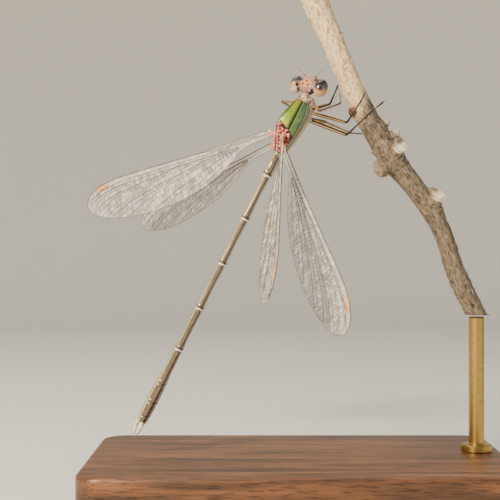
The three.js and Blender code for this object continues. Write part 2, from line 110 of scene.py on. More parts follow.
def linear(hex_colour: str) -> tuple[float, float, float, float]:
    """Turns six sRGB hex digits into the linear colour that a socket takes."""
    channels = [int(hex_colour[i:i + 2], 16) / 255 for i in (0, 2, 4)]
    bent = [c / 12.92 if c <= 0.04045 else ((c + 0.055) / 1.055) ** 2.4 for c in channels]
    return (bent[0], bent[1], bent[2], 1.0)


def along(table: Table, place: float | np.ndarray) -> Any:
    """Reads a smooth curve through [place, value] pairs.

    Args:
        table: pairs in rising order of place.
        place: one place or an array of them.

    Returns:
        The value at each place, by a Catmull-Rom spline that is flat past both ends.
    """
    xs, ys = np.array(table, dtype=float).T
    slopes = np.gradient(ys, xs)
    x = np.clip(place, xs[0], xs[-1])
    i = np.clip(np.searchsorted(xs, x, side="right") - 1, 0, len(xs) - 2)
    h = xs[i + 1] - xs[i]
    t = (x - xs[i]) / h
    value = ((2 * t ** 3 - 3 * t ** 2 + 1) * ys[i] + (t ** 3 - 2 * t ** 2 + t) * h * slopes[i]
             + (3 * t ** 2 - 2 * t ** 3) * ys[i + 1] + (t ** 3 - t ** 2) * h * slopes[i + 1])
    return float(value) if np.ndim(place) == 0 else value


def hump(x: Any, middle: float, width: float) -> Any:
    """A smooth hump of height 1 at middle, gone past width to each side."""
    t = np.clip(1 - np.abs((x - middle) / width), 0, 1)
    return t * t * (3 - 2 * t)


def unit(way: Any) -> np.ndarray:
    """A direction with length 1."""
    return np.asarray(way, dtype=float) / np.linalg.norm(way)


def corners(sides: int) -> np.ndarray:
    """The angles of a round section's corners."""
    return np.arange(sides) * 2 * math.pi / sides


def band(low: int, high: int, sides: int) -> Faces:
    """The faces between two rings of vertices, by the number of each ring's first vertex."""
    return [(low + j, low + (j + 1) % sides, high + (j + 1) % sides, high + j) for j in range(sides)]


def fan(tip: int, ring: int, sides: int, flip: bool = False) -> Faces:
    """The faces between one vertex and a ring, turned over by flip."""
    return [(tip, ring + j, ring + (j + 1) % sides)[::-1 if flip else 1] for j in range(sides)]


def add_node(tree: bpy.types.NodeTree, kind: str, settings: dict[str, Any] | None = None,
             inputs: dict[Any, Any] | None = None) -> bpy.types.Node:
    """Adds one node with its settings and links.

    Args:
        tree: the shader or geometry tree.
        kind: the node's class name.
        settings: attributes of the node, and as "stops" a ramp's places and sRGB hex colours.
        inputs: by input name or index, a value, the socket to link from, or a node whose first
            output is linked.

    Returns:
        The new node.
    """
    node = tree.nodes.new(kind)
    for name, value in (settings or {}).items():
        if name == "stops":
            elements = node.color_ramp.elements
            elements.remove(elements[-1])
            elements[0].position, elements[0].color = value[0][0], linear(value[0][1])
            for place, colour in value[1:]:
                elements.new(place).color = linear(colour)
        else:
            setattr(node, name, value)
    for key, value in (inputs or {}).items():
        socket = (node.inputs[key] if isinstance(key, int)
                  else next(s for s in node.inputs if s.enabled and s.name == key))
        if isinstance(value, bpy.types.Node):
            value = next(s for s in value.outputs if s.enabled)
        if isinstance(value, Socket):
            tree.links.new(value, socket)
        else:
            socket.default_value = value
    return node


@dataclass
class Place:
    """A right-handed frame inside another one, in millimetres."""

    origin: Sequence[float]
    forward: Sequence[float]
    left: Sequence[float]
    parent: "Place | None" = None

    def out(self, points: np.ndarray) -> np.ndarray:
        """Takes points of this frame, as rows of three, to the model's frame."""
        x = unit(self.forward)
        y = unit(np.array(self.left) - x * x.dot(self.left))
        moved = np.asarray(points, dtype=float) @ np.array([x, y, np.cross(x, y)]) + np.array(self.origin)
        return self.parent.out(moved) if self.parent else moved


MODEL = Place((0, 0, 0), (1, 0, 0), (0, 1, 0))
INSECT = Place(THORAX_AT, FORWARD, LEFT)
HEAD = Place(HEAD_AT, HEAD_FORWARD, HEAD_LEFT, INSECT)


def linked(name: str, data: bpy.types.ID) -> bpy.types.Object:
    """Puts a new object with this data into the scene."""
    thing = bpy.data.objects.new(name, data)
    bpy.context.scene.collection.objects.link(thing)
    return thing


def applied(work: bpy.types.Object) -> bpy.types.Mesh:
    """Turns an object with modifiers into a plain mesh and removes the object."""
    bpy.context.view_layer.update()
    depsgraph = bpy.context.evaluated_depsgraph_get()
    mesh = bpy.data.meshes.new_from_object(work.evaluated_get(depsgraph))
    old = work.data
    bpy.data.objects.remove(work)
    bpy.data.meshes.remove(old)
    return mesh


def set_attributes(mesh: bpy.types.Mesh, values: dict[str, np.ndarray]) -> None:
    """Stores a number or a vector of three for each vertex, by the attribute's name."""
    for name, value in values.items():
        kind, key = ("FLOAT_VECTOR", "vector") if np.ndim(value) > 1 else ("FLOAT", "value")
        data = mesh.attributes.new(name, kind, "POINT").data
        data.foreach_set(key, np.asarray(value, dtype=np.float32).ravel())


def finish_piece(name: str, mesh: bpy.types.Mesh, replaced: Sequence[str] = (),
                 material: bpy.types.Material | None = None) -> bpy.types.Object:
    """Makes the object of a finished mesh and tells the frame about it.

    Args:
        name: the piece's name.
        mesh: its mesh, in metres, in the model's frame.
        replaced: the nodes that the piece stands for.
        material: its material, or none where the mesh has its own.

    Returns:
        The object.
    """
    mesh.name = name
    if material:
        mesh.materials.append(material)
    piece = linked(name, mesh)
    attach(piece, "root")
    if replaced:
        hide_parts(*replaced)
    LOG.info("%s: %d faces", name, len(mesh.polygons))
    return piece


@dataclass
class Draft:
    """A mesh being built, in millimetres, in the frame of one place."""

    verts: list[Point] = field(default_factory=list)
    faces: Faces = field(default_factory=list)

    def add(self, verts: Any, faces: Faces) -> None:
        """Adds vertices and the faces between them."""
        start = len(self.verts)
        self.verts.extend(tuple(map(float, v)) for v in verts)
        self.faces.extend(tuple(start + i for i in f) for f in faces)

    def add_rings(self, rings: np.ndarray) -> None:
        """Adds a closed skin through rings of points, with a fan at each end.

        Args:
            rings: an array of rings, points and three values, turning left about the way it runs.
        """
        count, sides, _ = rings.shape
        faces = [face for i in range(count - 1) for face in band(i * sides, (i + 1) * sides, sides)]
        faces += fan(count * sides, 0, sides, True) + fan(count * sides + 1, (count - 1) * sides, sides)
        self.add(np.vstack([rings.reshape(-1, 3), rings[0].mean(axis=0), rings[-1].mean(axis=0)]), faces)

    def add_tube(self, path: Any, radii: Any, sides: int, up: Sequence[float] = (0, 0, 1)) -> None:
        """Adds a closed tube along a path.

        Args:
            path: rows of three.
            radii: one radius for each point, or rows of two for across and up.
            sides: corners of the section.
            up: the way that the section's second radius leans.
        """
        path, radii = np.asarray(path, dtype=float), np.asarray(radii, dtype=float)
        if radii.ndim == 1:
            radii = np.stack([radii, radii], axis=1)
        lift = np.array(up, dtype=float)
        angles = corners(sides)
        rings = []
        for point, way, radius in zip(path, np.gradient(path, axis=0), radii):
            tangent = unit(way)
            lift = unit(lift - tangent * lift.dot(tangent))
            rings.append(point - np.outer(np.cos(angles), np.cross(tangent, lift)) * radius[0]
                         + np.outer(np.sin(angles), lift) * radius[1])
        self.add_rings(np.array(rings)[:, ::-1])

    def add_ball(self, at: Sequence[float], halves: Sequence[float], sides: int = 24,
                 turn: Matrix | None = None) -> None:
        """Adds an ellipsoid.

        Args:
            at: its centre.
            halves: its three half lengths.
            sides: corners round it.
            turn: a rotation of the ellipsoid about its centre.
        """
        rows = sides // 2
        verts = [(0, 0, 1)]
        for lat in math.pi * np.arange(1, rows) / rows:
            verts += [(math.sin(lat) * math.cos(lon), math.sin(lat) * math.sin(lon), math.cos(lat))
                      for lon in corners(sides)]
        verts.append((0, 0, -1))
        last = 1 + (rows - 2) * sides
        faces = fan(0, 1, sides) + fan(len(verts) - 1, last, sides, True)
        for a in range(1, last, sides):
            faces += band(a + sides, a, sides)
        points = np.array(verts) * np.array(halves)
        if turn is not None:
            points = points @ np.array(turn.to_3x3()).T
        self.add(points + np.array(at), faces)

    def add_balls(self, rows: Sequence[Sequence[float]]) -> None:
        """Adds an ellipsoid for each row of centre, half lengths and sides, and mirrors those with a Y."""
        for x, y, z, *halves, sides in rows:
            for mirror in BOTH_SIDES if y else (1,):
                self.add_ball((x, mirror * y, z), halves, sides)

    def mesh(self, name: str, place: Place = MODEL, scale: float = MM) -> bpy.types.Mesh:
        """Writes the draft to a smooth-shaded Blender mesh.

        Args:
            name: the mesh's name.
            place: the frame that the draft is in.
            scale: what a millimetre becomes.
        """
        mesh = bpy.data.meshes.new(name)
        mesh.from_pydata((place.out(np.array(self.verts)) * scale).tolist(), [], self.faces)
        mesh.validate()
        mesh.shade_smooth()
        return mesh

    def piece(self, name: str, place: Place, slot: str, replaced: Sequence[str],
              material: bpy.types.Material, values: dict[str, np.ndarray] | None = None,
              sharp: float | None = None) -> bpy.types.Object:
        """Writes the draft as a finished piece, as finish_piece does.

        Args:
            name: the piece's name.
            place: the frame that the draft is in.
            slot: the record's material slot; not used.
            replaced: the nodes that the piece stands for.
            material: its material.
            values: the vertices' attributes.
            sharp: the angle in degrees past which an edge is sharp.
        """
        mesh = self.mesh(name, place)
        set_attributes(mesh, values or {})
        if sharp:
            mesh.set_sharp_from_angle(angle=math.radians(sharp))
        return finish_piece(name, mesh, replaced, material)

    def fused(self, voxel: float) -> "Draft":
        """Joins all that overlaps into one skin on a grid of voxel millimetres, softened twice."""
        work = linked("work", self.mesh("work", scale=1.0))
        remesh = work.modifiers.new("fuse", "REMESH")
        remesh.mode = "VOXEL"
        remesh.voxel_size = voxel
        soften = work.modifiers.new("soften", "SMOOTH")
        soften.factor = 0.5
        soften.iterations = 2
        joined = applied(work)
        draft = Draft([tuple(v.co) for v in joined.vertices], [tuple(p.vertices) for p in joined.polygons])
        bpy.data.meshes.remove(joined)
        return draft


def grain_scale(size: float) -> float:
    """The scale of a texture node whose features are size millimetres wide, on metre coordinates."""
    return 1.0 / (size * MM)


@dataclass
class Palette:
    """What a finish is mixed from, on the material's own tree."""

    add: Add
    coords: Socket
    marks: list[Socket]
    grains: list[bpy.types.Node]


class Finish:
    """One real material, as a Principled shader.

    Its marks are the attributes that it reads as numbers, and its grains are noises by size in
    millimetres and detail.
    """

    name: str
    marks: ClassVar[Sequence[str]] = ()
    grains: ClassVar[Sequence[tuple[float, float]]] = ()

    def sockets(self, kit: Palette) -> dict[str, Any]:
        """What feeds the shader.

        Args:
            kit: add_node, the object's coordinates in metres, and a node for each mark and grain.

        Returns:
            The shader's inputs by name, and as "Relief" a height, a strength and a depth in
            millimetres for its bumps.
        """
        raise NotImplementedError

    def make(self) -> bpy.types.Material:
        """Builds the material."""
        material = bpy.data.materials.new(self.name)
        material.use_nodes = True
        material.node_tree.nodes.clear()
        add = partial(add_node, material.node_tree)
        coords = add("ShaderNodeTexCoord").outputs["Object"]
        marks = [add("ShaderNodeAttribute", {"attribute_name": mark}).outputs["Fac"] for mark in self.marks]
        grains = [add("ShaderNodeTexNoise", None, {
            "Vector": coords, "Scale": grain_scale(size), "Detail": detail}) for size, detail in self.grains]
        inputs = self.sockets(Palette(add, coords, marks, grains))
        if "Relief" in inputs:
            height, strength, depth = inputs.pop("Relief")
            inputs["Normal"] = add("ShaderNodeBump", None, {
                "Height": height, "Strength": strength, "Distance": depth * MM})
        add("ShaderNodeOutputMaterial", None, {"Surface": add("ShaderNodeBsdfPrincipled", None, inputs)})
        return material


@dataclass(frozen=True)
class MetallicCuticle(Finish):
    """Green and gold chitin of the thorax, bronze chitin of the tail and soft red wing hinges.

    The cuticle is a stack of thin layers, so it gives the eye a metal's coloured gloss over a fine
    pitted surface. Its marks follow attributes of the skin: "turn", 0 on the back and 1 below,
    "place", millimetres along the body, "lump", how far a hinge plate stands out, and the shares
    "ring", "band", "hinge", "collar" and "midline".
    """

    name: str = "metallic_cuticle"
    roughness: float = 0.34
    tail_roughness: float = 0.23
    marks = ("turn", "place", "ring", "band", "hinge", "collar", "lump", "midline")
    grains = ((0.06, 3.0), (0.45, 2.0), (0.13, 2.0))

    def sockets(self, kit: Palette) -> dict[str, Any]:
        """See Finish."""
        turn, place, ring, lip, hinge, collar, lump, midline = kit.marks
        fine, broad, speck = kit.grains
        wobble, rough_lump = (
            kit.add("ShaderNodeMath", MULTIPLY_ADD, {0: texture, 1: amount, 2: value})
            for texture, amount, value in ((broad, 0.035, turn), (speck, 0.3, lump)))
        soft = kit.add("ShaderNodeMath", {"operation": "MAXIMUM"}, {0: hinge, 1: collar})
        dull = kit.add("ShaderNodeMath", {"operation": "MAXIMUM"}, {0: soft, 1: ring})
        in_second = kit.add("ShaderNodeValToRGB", {"stops": [
            (0.34, "000000"), (0.38, "b0b0b0"), (0.47, "b0b0b0"), (0.52, "000000")]}, {"Fac": wobble})
        goldness, behind, on_tail, stain, shade, metal, gloss = (
            kit.add("ShaderNodeMapRange", None, {
                "Value": value, "From Min": low, "From Max": high, "To Min": first, "To Max": last})
            for value, low, high, first, last in (
                (place, -1.2, 2.3, 0.0, 1.0), (place, 1.6, 0.2, 0.0, in_second),
                (place, -4.0, -4.3, 0.0, 1.0), (speck, 0.62, 0.4, 0.0, 0.35), (fine, 0.3, 0.7, 0.0, 1.0),
                (dull, 0.0, 1.0, 0.45, 0.0),
                (place, -4.3, -4.0, self.tail_roughness, self.roughness)))
        skin, gold, in_stripe, second, mottle, in_suture, tail, flesh, streak, neck = (
            kit.add("ShaderNodeValToRGB", {"stops": stops}, {"Fac": value}) for value, stops in (
                (wobble, [(0.012, "1d1a10"), (0.03, "42591f"), (0.06, "628529"), (0.22, "527a22"),
                          (0.262, "294618"), (0.28, "0f0e0a"), (0.305, "0f0e0a"), (0.32, "b3ab84"),
                          (0.34, "5d6f4a"), (0.4, "47674a"), (0.5, "4d6c45"), (0.53, "1a1b14"),
                          (0.56, "b7b49c"), (0.585, "191813"), (0.62, "a29d86"), (0.65, "211e18"),
                          (0.68, "cbb995"), (0.84, "b9a988"), (1.0, "a3967b")]),
                (goldness, [(0.0, "dcd878"), (0.2, "bccd48"), (0.5, "8fb82e"), (0.78, "aba434"),
                            (1.0, "b88232")]),
                (wobble, [(0.055, "000000"), (0.1, "f0f0f0"), (0.17, "f0f0f0"), (0.24, "000000")]),
                (broad, [(0.4, "41604c"), (0.52, "6f9a3a"), (0.62, "a9a63e")]),
                (speck, [(0.4, "1b1a15"), (0.5, "66624f"), (0.62, "b9b39c")]),
                (wobble, [(0.53, "000000"), (0.545, "909090"), (0.62, "909090"), (0.65, "000000")]),
                # Tail colours from the back round to below: pale cream on the back's middle line, mostly a
                # painted highlight along the tail and partly a pale line there, then bronze, a dark band low
                # on the sides and pale below
                (wobble, [(0.03, "f7efba"), (0.065, "ece2a2"), (0.09, "8d8650"), (0.14, "766b48"),
                          (0.24, "857460"), (0.35, "8a7a6e"), (0.41, "4c3c30"), (0.45, "2f231b"),
                          (0.5, "8c8072"), (0.56, "cfc6b6"), (0.75, "b0a596"), (1.0, "a3967f")]),
                # Hinge colours by how far a plate stands out: cream on the plates and red between them,
                # darkening to near black down in the crevices as painted shade over the red
                (rough_lump, [(0.15, "260403"), (0.22, "640d09"), (0.29, "9a2416"), (0.34, "bf5a3e"),
                              (0.39, "e8bf9c"), (0.44, "dba07e"), (0.49, "a63f2b"), (0.57, "cf8f70")]),
                (speck, [(0.4, "7b5654"), (0.6, "cdb0a4")]),
                (broad, [(0.36, "4e3830"), (0.45, "967467"), (0.54, "bf9f8e"), (0.66, "e2cbb8")])))
        tail = kit.add("ShaderNodeMix", RGBA, {"Factor": stain, "A": tail, "B": linear("4a3a26")})
        flesh = kit.add("ShaderNodeMix", RGBA, {"Factor": midline, "A": flesh, "B": streak})
        for share, cover in ((in_stripe, gold), (behind, second), (in_suture, mottle), (on_tail, tail),
                             (hinge, flesh), (collar, neck), (lip, linear("24150d")),
                             (ring, linear("efe4d4"))):
            skin = kit.add("ShaderNodeMix", RGBA, {"Factor": share, "A": skin, "B": cover})
        skin = kit.add("ShaderNodeMix", RGBA | {"blend_type": "OVERLAY"}, {
            "Factor": 0.35, "A": skin, "B": shade})
        return {"Base Color": skin, "Metallic": metal, "Roughness": gloss, "Relief": (fine, 0.4, 0.02)}


@dataclass(frozen=True)
class HeadCuticle(Finish):
    """Pinkish copper chitin of the head, orange between the small eyes and black in its notches.

    It is matt and finely wrinkled. The attributes "orange" and "black" are shares of the marks.
    """

    name: str = "copper_head_cuticle"
    marks = ("orange", "black")
    grains = ((0.12, 4.0),)

    def sockets(self, kit: Palette) -> dict[str, Any]:
        """See Finish."""
        skin, warm = (kit.add("ShaderNodeValToRGB", {"stops": stops}, {"Fac": kit.grains[0]}) for stops in (
            [(0.34, "55362a"), (0.46, "8f6654"), (0.56, "b0846f"), (0.7, "d4b29e")],
            [(0.38, "8a4212"), (0.5, "d98a3a"), (0.62, "f0b26a")]))
        for share, cover in zip(kit.marks, (warm, linear("150c08"))):
            skin = kit.add("ShaderNodeMix", RGBA, {"Factor": share, "A": skin, "B": cover})
        return {"Base Color": skin, "Roughness": 0.46, "Relief": (kit.grains[0], 0.5, 0.04)}


@dataclass(frozen=True)
class DullCuticle(Finish):
    """Thin chitin without metal: claspers, feelers, bristles, hair, veins and wing cells.

    It is a faintly waxy surface with small pits, whose colour changes softly in blotches.
    """

    name: str
    dark: str
    pale: str
    blotch: float = 0.4
    roughness: float = 0.5

    @property
    def grains(self) -> Sequence[tuple[float, float]]:
        """Blotches and pits."""
        return ((self.blotch, 4.0), (0.06, 2.0))

    def sockets(self, kit: Palette) -> dict[str, Any]:
        """See Finish."""
        colour = kit.add("ShaderNodeValToRGB", {"stops": [(0.38, self.dark), (0.6, self.pale)]}, {
            "Fac": kit.grains[0]})
        return {"Base Color": colour, "Roughness": self.roughness, "Relief": (kit.grains[1], 0.4, 0.02)}


@dataclass(frozen=True)
class LegCuticle(Finish):
    """Tan chitin with dark brown stripes along the leg, by the attribute "stripe"."""

    name: str = "striped_leg_cuticle"
    marks = ("stripe",)
    grains = ((0.2, 3.0),)

    def sockets(self, kit: Palette) -> dict[str, Any]:
        """See Finish."""
        level = kit.add("ShaderNodeMath", MULTIPLY_ADD, {0: kit.grains[0], 1: 0.3, 2: kit.marks[0]})
        colour = kit.add("ShaderNodeValToRGB", {"stops": [
            (0.1, "d2b27c"), (0.35, "a8834e"), (0.52, "684626"), (0.68, "24160c"), (1.0, "140c07")]},
            {"Fac": level})
        return {"Base Color": colour, "Roughness": 0.4}


@dataclass(frozen=True)
class CompoundEye(Finish):
    """Glossy lens cuticle over pigment: dark blue grey above, tan below, cream round the rim.

    Thousands of facets give a soft gloss with a sharper clear film over them, and a dark false
    pupil where the facets face the viewer. They are drawn at twice their real width.
    """

    name: str
    # Painted sun glare: a shift of the colours' level, lower for an eye that is painted paler, as the left
    # eye is
    darkness: float = 0.0
    facet: float = 0.05
    marks = ("height", "pupil", "rim")
    grains = ((0.4, 3.0),)

    def sockets(self, kit: Palette) -> dict[str, Any]:
        """See Finish."""
        height, pupil, rim = kit.marks
        shifted = kit.add("ShaderNodeMath", {"operation": "ADD"}, {0: height, 1: self.darkness})
        level = kit.add("ShaderNodeMath", MULTIPLY_ADD, {0: kit.grains[0], 1: 0.12, 2: shifted})
        colour = kit.add("ShaderNodeValToRGB", {"stops": [
            (0.1, "cdbb96"), (0.3, "c49a64"), (0.48, "b8844f"), (0.56, "94704e"), (0.64, "574e54"),
            (0.74, "333038"), (0.9, "1c1b23"), (1.0, "2e222a")]}, {"Fac": level})
        for share, cover in ((pupil, "2a1006"), (rim, "dccfa8")):
            colour = kit.add("ShaderNodeMix", RGBA, {"Factor": share, "A": colour, "B": linear(cover)})
        facets = kit.add("ShaderNodeTexVoronoi", None, {
            "Vector": kit.coords, "Scale": grain_scale(self.facet), "Randomness": 0.3})
        domes = kit.add("ShaderNodeBump", {"invert": True}, {
            "Height": facets, "Strength": 0.12, "Distance": 0.01 * MM})
        return {"Base Color": colour, "Normal": domes, "Roughness": 0.25, "Coat Weight": 0.7,
                "Coat Roughness": 0.05}


@dataclass(frozen=True)
class WingMembrane(Finish):
    """Clear dry cuticle a few thousandths of a millimetre thick, drawn tight between the veins.

    Each cell gets a painted sheen of its own, by the attribute "cell": some are painted flashing
    white as a painted reflection, some a faint pink or blue as painted thin-film colour, and the
    rest stay clear. Cells painted brighter are also drawn less clear.
    """

    name: str = "clear_wing_membrane"
    marks = ("cell",)
    grains = ((0.3, 3.0),)

    def sockets(self, kit: Palette) -> dict[str, Any]:
        """See Finish."""
        height = kit.add("ShaderNodeMath", MULTIPLY_ADD, {0: kit.marks[0], 1: 0.6, 2: kit.grains[0]})
        tint = kit.add("ShaderNodeValToRGB", {"stops": [
            (0.0, "a3a398"), (0.3, "bfbfb2"), (0.55, "d9d1c6"), (0.75, "cfd3da"), (0.9, "ecdfdb"),
            (1.0, "fbf9f4")]}, {"Fac": kit.marks[0]})
        cover = kit.add("ShaderNodeMapRange", None, {
            "Value": height, "From Min": 0.35, "From Max": 1.15, "To Min": 0.2, "To Max": 0.56})
        return {"Base Color": tint, "Alpha": cover, "Roughness": 0.16, "Specular IOR Level": 1.0,
                "Relief": (height, 0.8, 0.1)}


@dataclass(frozen=True)
class Bark(Finish):
    """Dry twig bark, rough and quite matt, with its grain along the twig.

    The young upper part is cream with orange brown flakes, and the older part below is grey brown
    with dark cracks. The attribute "grain" is a place on the bark in millimetres with the twig
    pulled straight; the age mark is the share of old bark together with painted shade on the
    twig's right side, "pale" the share of bare wood together with painted highlights on buds and
    stubs, and "rust" the share of brown scales.
    """

    name: str = "dry_bark"
    marks = ("age", "pale", "rust")

    def sockets(self, kit: Palette) -> dict[str, Any]:
        """See Finish."""
        grain = kit.add("ShaderNodeAttribute", {"attribute_name": "grain"}).outputs["Vector"]
        age, pale, rust = kit.marks
        fibre, flake, patch = (
            kit.add("ShaderNodeTexNoise", None, {
                "Vector": kit.add("ShaderNodeMapping", None, {
                    "Vector": grain, "Scale": (1 / size, 1 / size, 1 / (size * stretch))}),
                "Scale": 1.0, "Detail": detail, "Roughness": 0.62})
            for size, stretch, detail in ((0.16, 3.5, 5.0), (0.3, 1.6, 6.0), (1.3, 3.0, 3.0)))
        in_young, in_old, drift = (
            kit.add("ShaderNodeMapRange", None, {
                "Value": patch, "From Min": low, "From Max": high, "To Min": first, "To Max": last})
            for low, high, first, last in (
                (0.42, 0.56, 0.0, 1.0), (0.44, 0.62, 0.0, 1.0), (0.0, 1.0, -0.35, 0.35)))
        cream, streaked, old, flaked, scales, wood = (
            kit.add("ShaderNodeValToRGB", {"stops": stops}, {"Fac": texture}) for texture, stops in (
                (flake, [(0.36, "8a5c30"), (0.43, "c4935a"), (0.5, "e6c999"), (0.62, "f3dfba")]),
                (fibre, [(0.38, "b08c60"), (0.5, "e2c79c"), (0.62, "efdcb8")]),
                (fibre, [(0.38, "1f1915"), (0.46, "493f37"), (0.56, "6a6055"), (0.7, "8c8172")]),
                (flake, [(0.4, "2f2620"), (0.49, "5e4f40"), (0.6, "827461")]),
                (flake, [(0.4, "3a1d14"), (0.52, "7d4a33"), (0.64, "a8745a")]),
                (flake, [(0.36, "dcc59a"), (0.5, "f6ebd0"), (0.6, "fffcf2")])))
        old = kit.add("ShaderNodeMix", RGBA, {"Factor": in_old, "A": old, "B": flaked})
        # The age mark holds the share of old bark and the painted shade on the twig's right side
        aged_and_shaded = kit.add("ShaderNodeMath", {"operation": "ADD", "use_clamp": True}, {0: drift, 1: age})
        colour = cream
        for share, cover in ((in_young, streaked), (aged_and_shaded, old), (rust, scales), (pale, wood)):
            colour = kit.add("ShaderNodeMix", RGBA, {"Factor": share, "A": colour, "B": cover})
        relief = kit.add("ShaderNodeMath", {"operation": "ADD"}, {0: fibre, 1: flake})
        return {"Base Color": colour, "Roughness": 0.88, "Relief": (relief, 0.7, 0.1)}


@dataclass(frozen=True)
class OiledWalnut(Finish):
    """Planed and oiled walnut: long dark grain lines along X under a satin oil film."""

    name: str = "oiled_walnut"

    def sockets(self, kit: Palette) -> dict[str, Any]:
        """See Finish."""
        pulled = kit.add("ShaderNodeMapping", None, {"Vector": kit.coords, "Scale": (0.08, 1.0, 1.0)})
        rings, pores = (
            kit.add("ShaderNodeTexNoise", None, {
                "Vector": pulled, "Scale": grain_scale(size), "Detail": detail, "Distortion": bend})
            for size, detail, bend in ((1.6, 6.0, 0.6), (0.16, 2.0, 0.0)))
        colour, dark = (
            kit.add("ShaderNodeValToRGB", {"stops": stops}, {"Fac": texture}) for texture, stops in (
                (rings, [(0.3, "3b2416"), (0.45, "5c3b24"), (0.55, "73492d"), (0.7, "8a5c3a")]),
                (pores, [(0.36, "3a2a1e"), (0.48, "ffffff")])))
        wood = kit.add("ShaderNodeMix", RGBA | {"blend_type": "MULTIPLY"}, {
            "Factor": 0.6, "A": colour, "B": dark})
        return {"Base Color": wood, "Roughness": 0.42, "Relief": (pores, 0.2, 0.03)}


@dataclass(frozen=True)
class BrushedBrass(Finish):
    """Drawn brass rod, brushed round: fine rings that spread its gloss along the rod."""

    name: str = "brushed_brass"

    def sockets(self, kit: Palette) -> dict[str, Any]:
        """See Finish."""
        rings = kit.add("ShaderNodeMapping", None, {"Vector": kit.coords, "Scale": (0.05, 0.05, 1.0)})
        scratch = kit.add("ShaderNodeTexNoise", None, {
            "Vector": rings, "Scale": grain_scale(0.05), "Detail": 3.0})
        colour = kit.add("ShaderNodeValToRGB", {"stops": [(0.3, "a58544"), (0.7, "c9a862")]}, {
            "Fac": scratch})
        return {"Base Color": colour, "Metallic": 1.0, "Roughness": 0.32, "Relief": (scratch, 0.2, 0.01)}


@dataclass(frozen=True)
class StudioPaper(Finish):
    """Matt pale paper of the studio floor."""

    name: str = "studio_paper"

    def sockets(self, kit: Palette) -> dict[str, Any]:
        """See Finish."""
        return {"Base Color": linear("dedcd6"), "Roughness": 0.9}


@dataclass
class NodeSet:
    """A Geometry Nodes set that grows a finished piece from a bare mesh."""

    material: bpy.types.Material
    title: ClassVar[str]
    setting: ClassVar[tuple[str, str]]

    def grow(self, add: Add, given: Any) -> bpy.types.Node:
        """Adds the nodes of one set.

        Args:
            add: add_node on the set's own tree.
            given: the group's inputs, which are Geometry, the setting and Material.

        Returns:
            The last node before the instances become real.
        """
        raise NotImplementedError

    def run(self, name: str, points: np.ndarray, edges: Faces, values: dict[str, np.ndarray],
            amount: float) -> bpy.types.Mesh:
        """Builds the tree and runs it over a bare mesh.

        Args:
            name: the mesh's name.
            points: its vertices in millimetres, in the model's frame.
            edges: pairs of them.
            values: their attributes.
            amount: what the setting gets.

        Returns:
            The grown mesh.
        """
        tree = bpy.data.node_groups.new(self.title, "GeometryNodeTree")
        for label, kind in (("Geometry", "Geometry"), self.setting, ("Material", "Material")):
            tree.interface.new_socket(label, in_out="INPUT", socket_type=f"NodeSocket{kind}")
        tree.interface.new_socket("Geometry", in_out="OUTPUT", socket_type="NodeSocketGeometry")
        add = partial(add_node, tree)
        given = add("NodeGroupInput").outputs
        real = add("GeometryNodeRealizeInstances", None, {"Geometry": self.grow(add, given)})
        dressed = add("GeometryNodeSetMaterial", None, {"Geometry": real, "Material": given["Material"]})
        add("NodeGroupOutput", None, {"Geometry": dressed})
        bare = bpy.data.meshes.new(name)
        bare.from_pydata((points * MM).tolist(), edges, [])
        set_attributes(bare, values)
        work = linked("work", bare)
        modifier = work.modifiers.new(self.title, "NODES")
        modifier.node_group = tree
        settings = {self.setting[0]: amount, "Material": self.material}
        for item in tree.interface.items_tree:
            if item.in_out == "INPUT" and item.name in settings:
                modifier[item.identifier] = settings[item.name]
        return applied(work)


@dataclass
class VeinTubes(NodeSet):
    """Turns lines into closed round tubes, each with a radius of its own: the wing's veins."""

    title = "vein_tubes"
    setting = ("Sides", "Int")
    sides: int = 6

    def grow(self, add: Add, given: Any) -> bpy.types.Node:
        """See NodeSet."""
        curve = add("GeometryNodeMeshToCurve", None, {"Mesh": given["Geometry"]})
        radius = add("GeometryNodeInputNamedAttribute", {"data_type": "FLOAT"}, {"Name": "radius"})
        ring = add("GeometryNodeCurvePrimitiveCircle", None, {"Resolution": given["Sides"], "Radius": 1.0})
        return add("GeometryNodeCurveToMesh", None, {
            "Curve": curve, "Profile Curve": ring, "Scale": radius, "Fill Caps": True})

    def make(self, name: str, lines: Sequence[tuple[np.ndarray, float]], place: Place) -> bpy.types.Object:
        """Runs the set over a list of lines.

        Args:
            name: the piece's name.
            lines: rows of points in millimetres, each with its tube's radius.
            place: the frame of the points.

        Returns:
            The piece.
        """
        edges, radii = [], []
        for points, radius in lines:
            edges.extend((len(radii) + i, len(radii) + i + 1) for i in range(len(points) - 1))
            radii.extend([radius * MM] * len(points))
        points = place.out(np.vstack([points for points, _ in lines]))
        mesh = self.run(name, points, edges, {"radius": np.array(radii)}, self.sides)
        mesh.shade_smooth()
        return finish_piece(name, mesh)


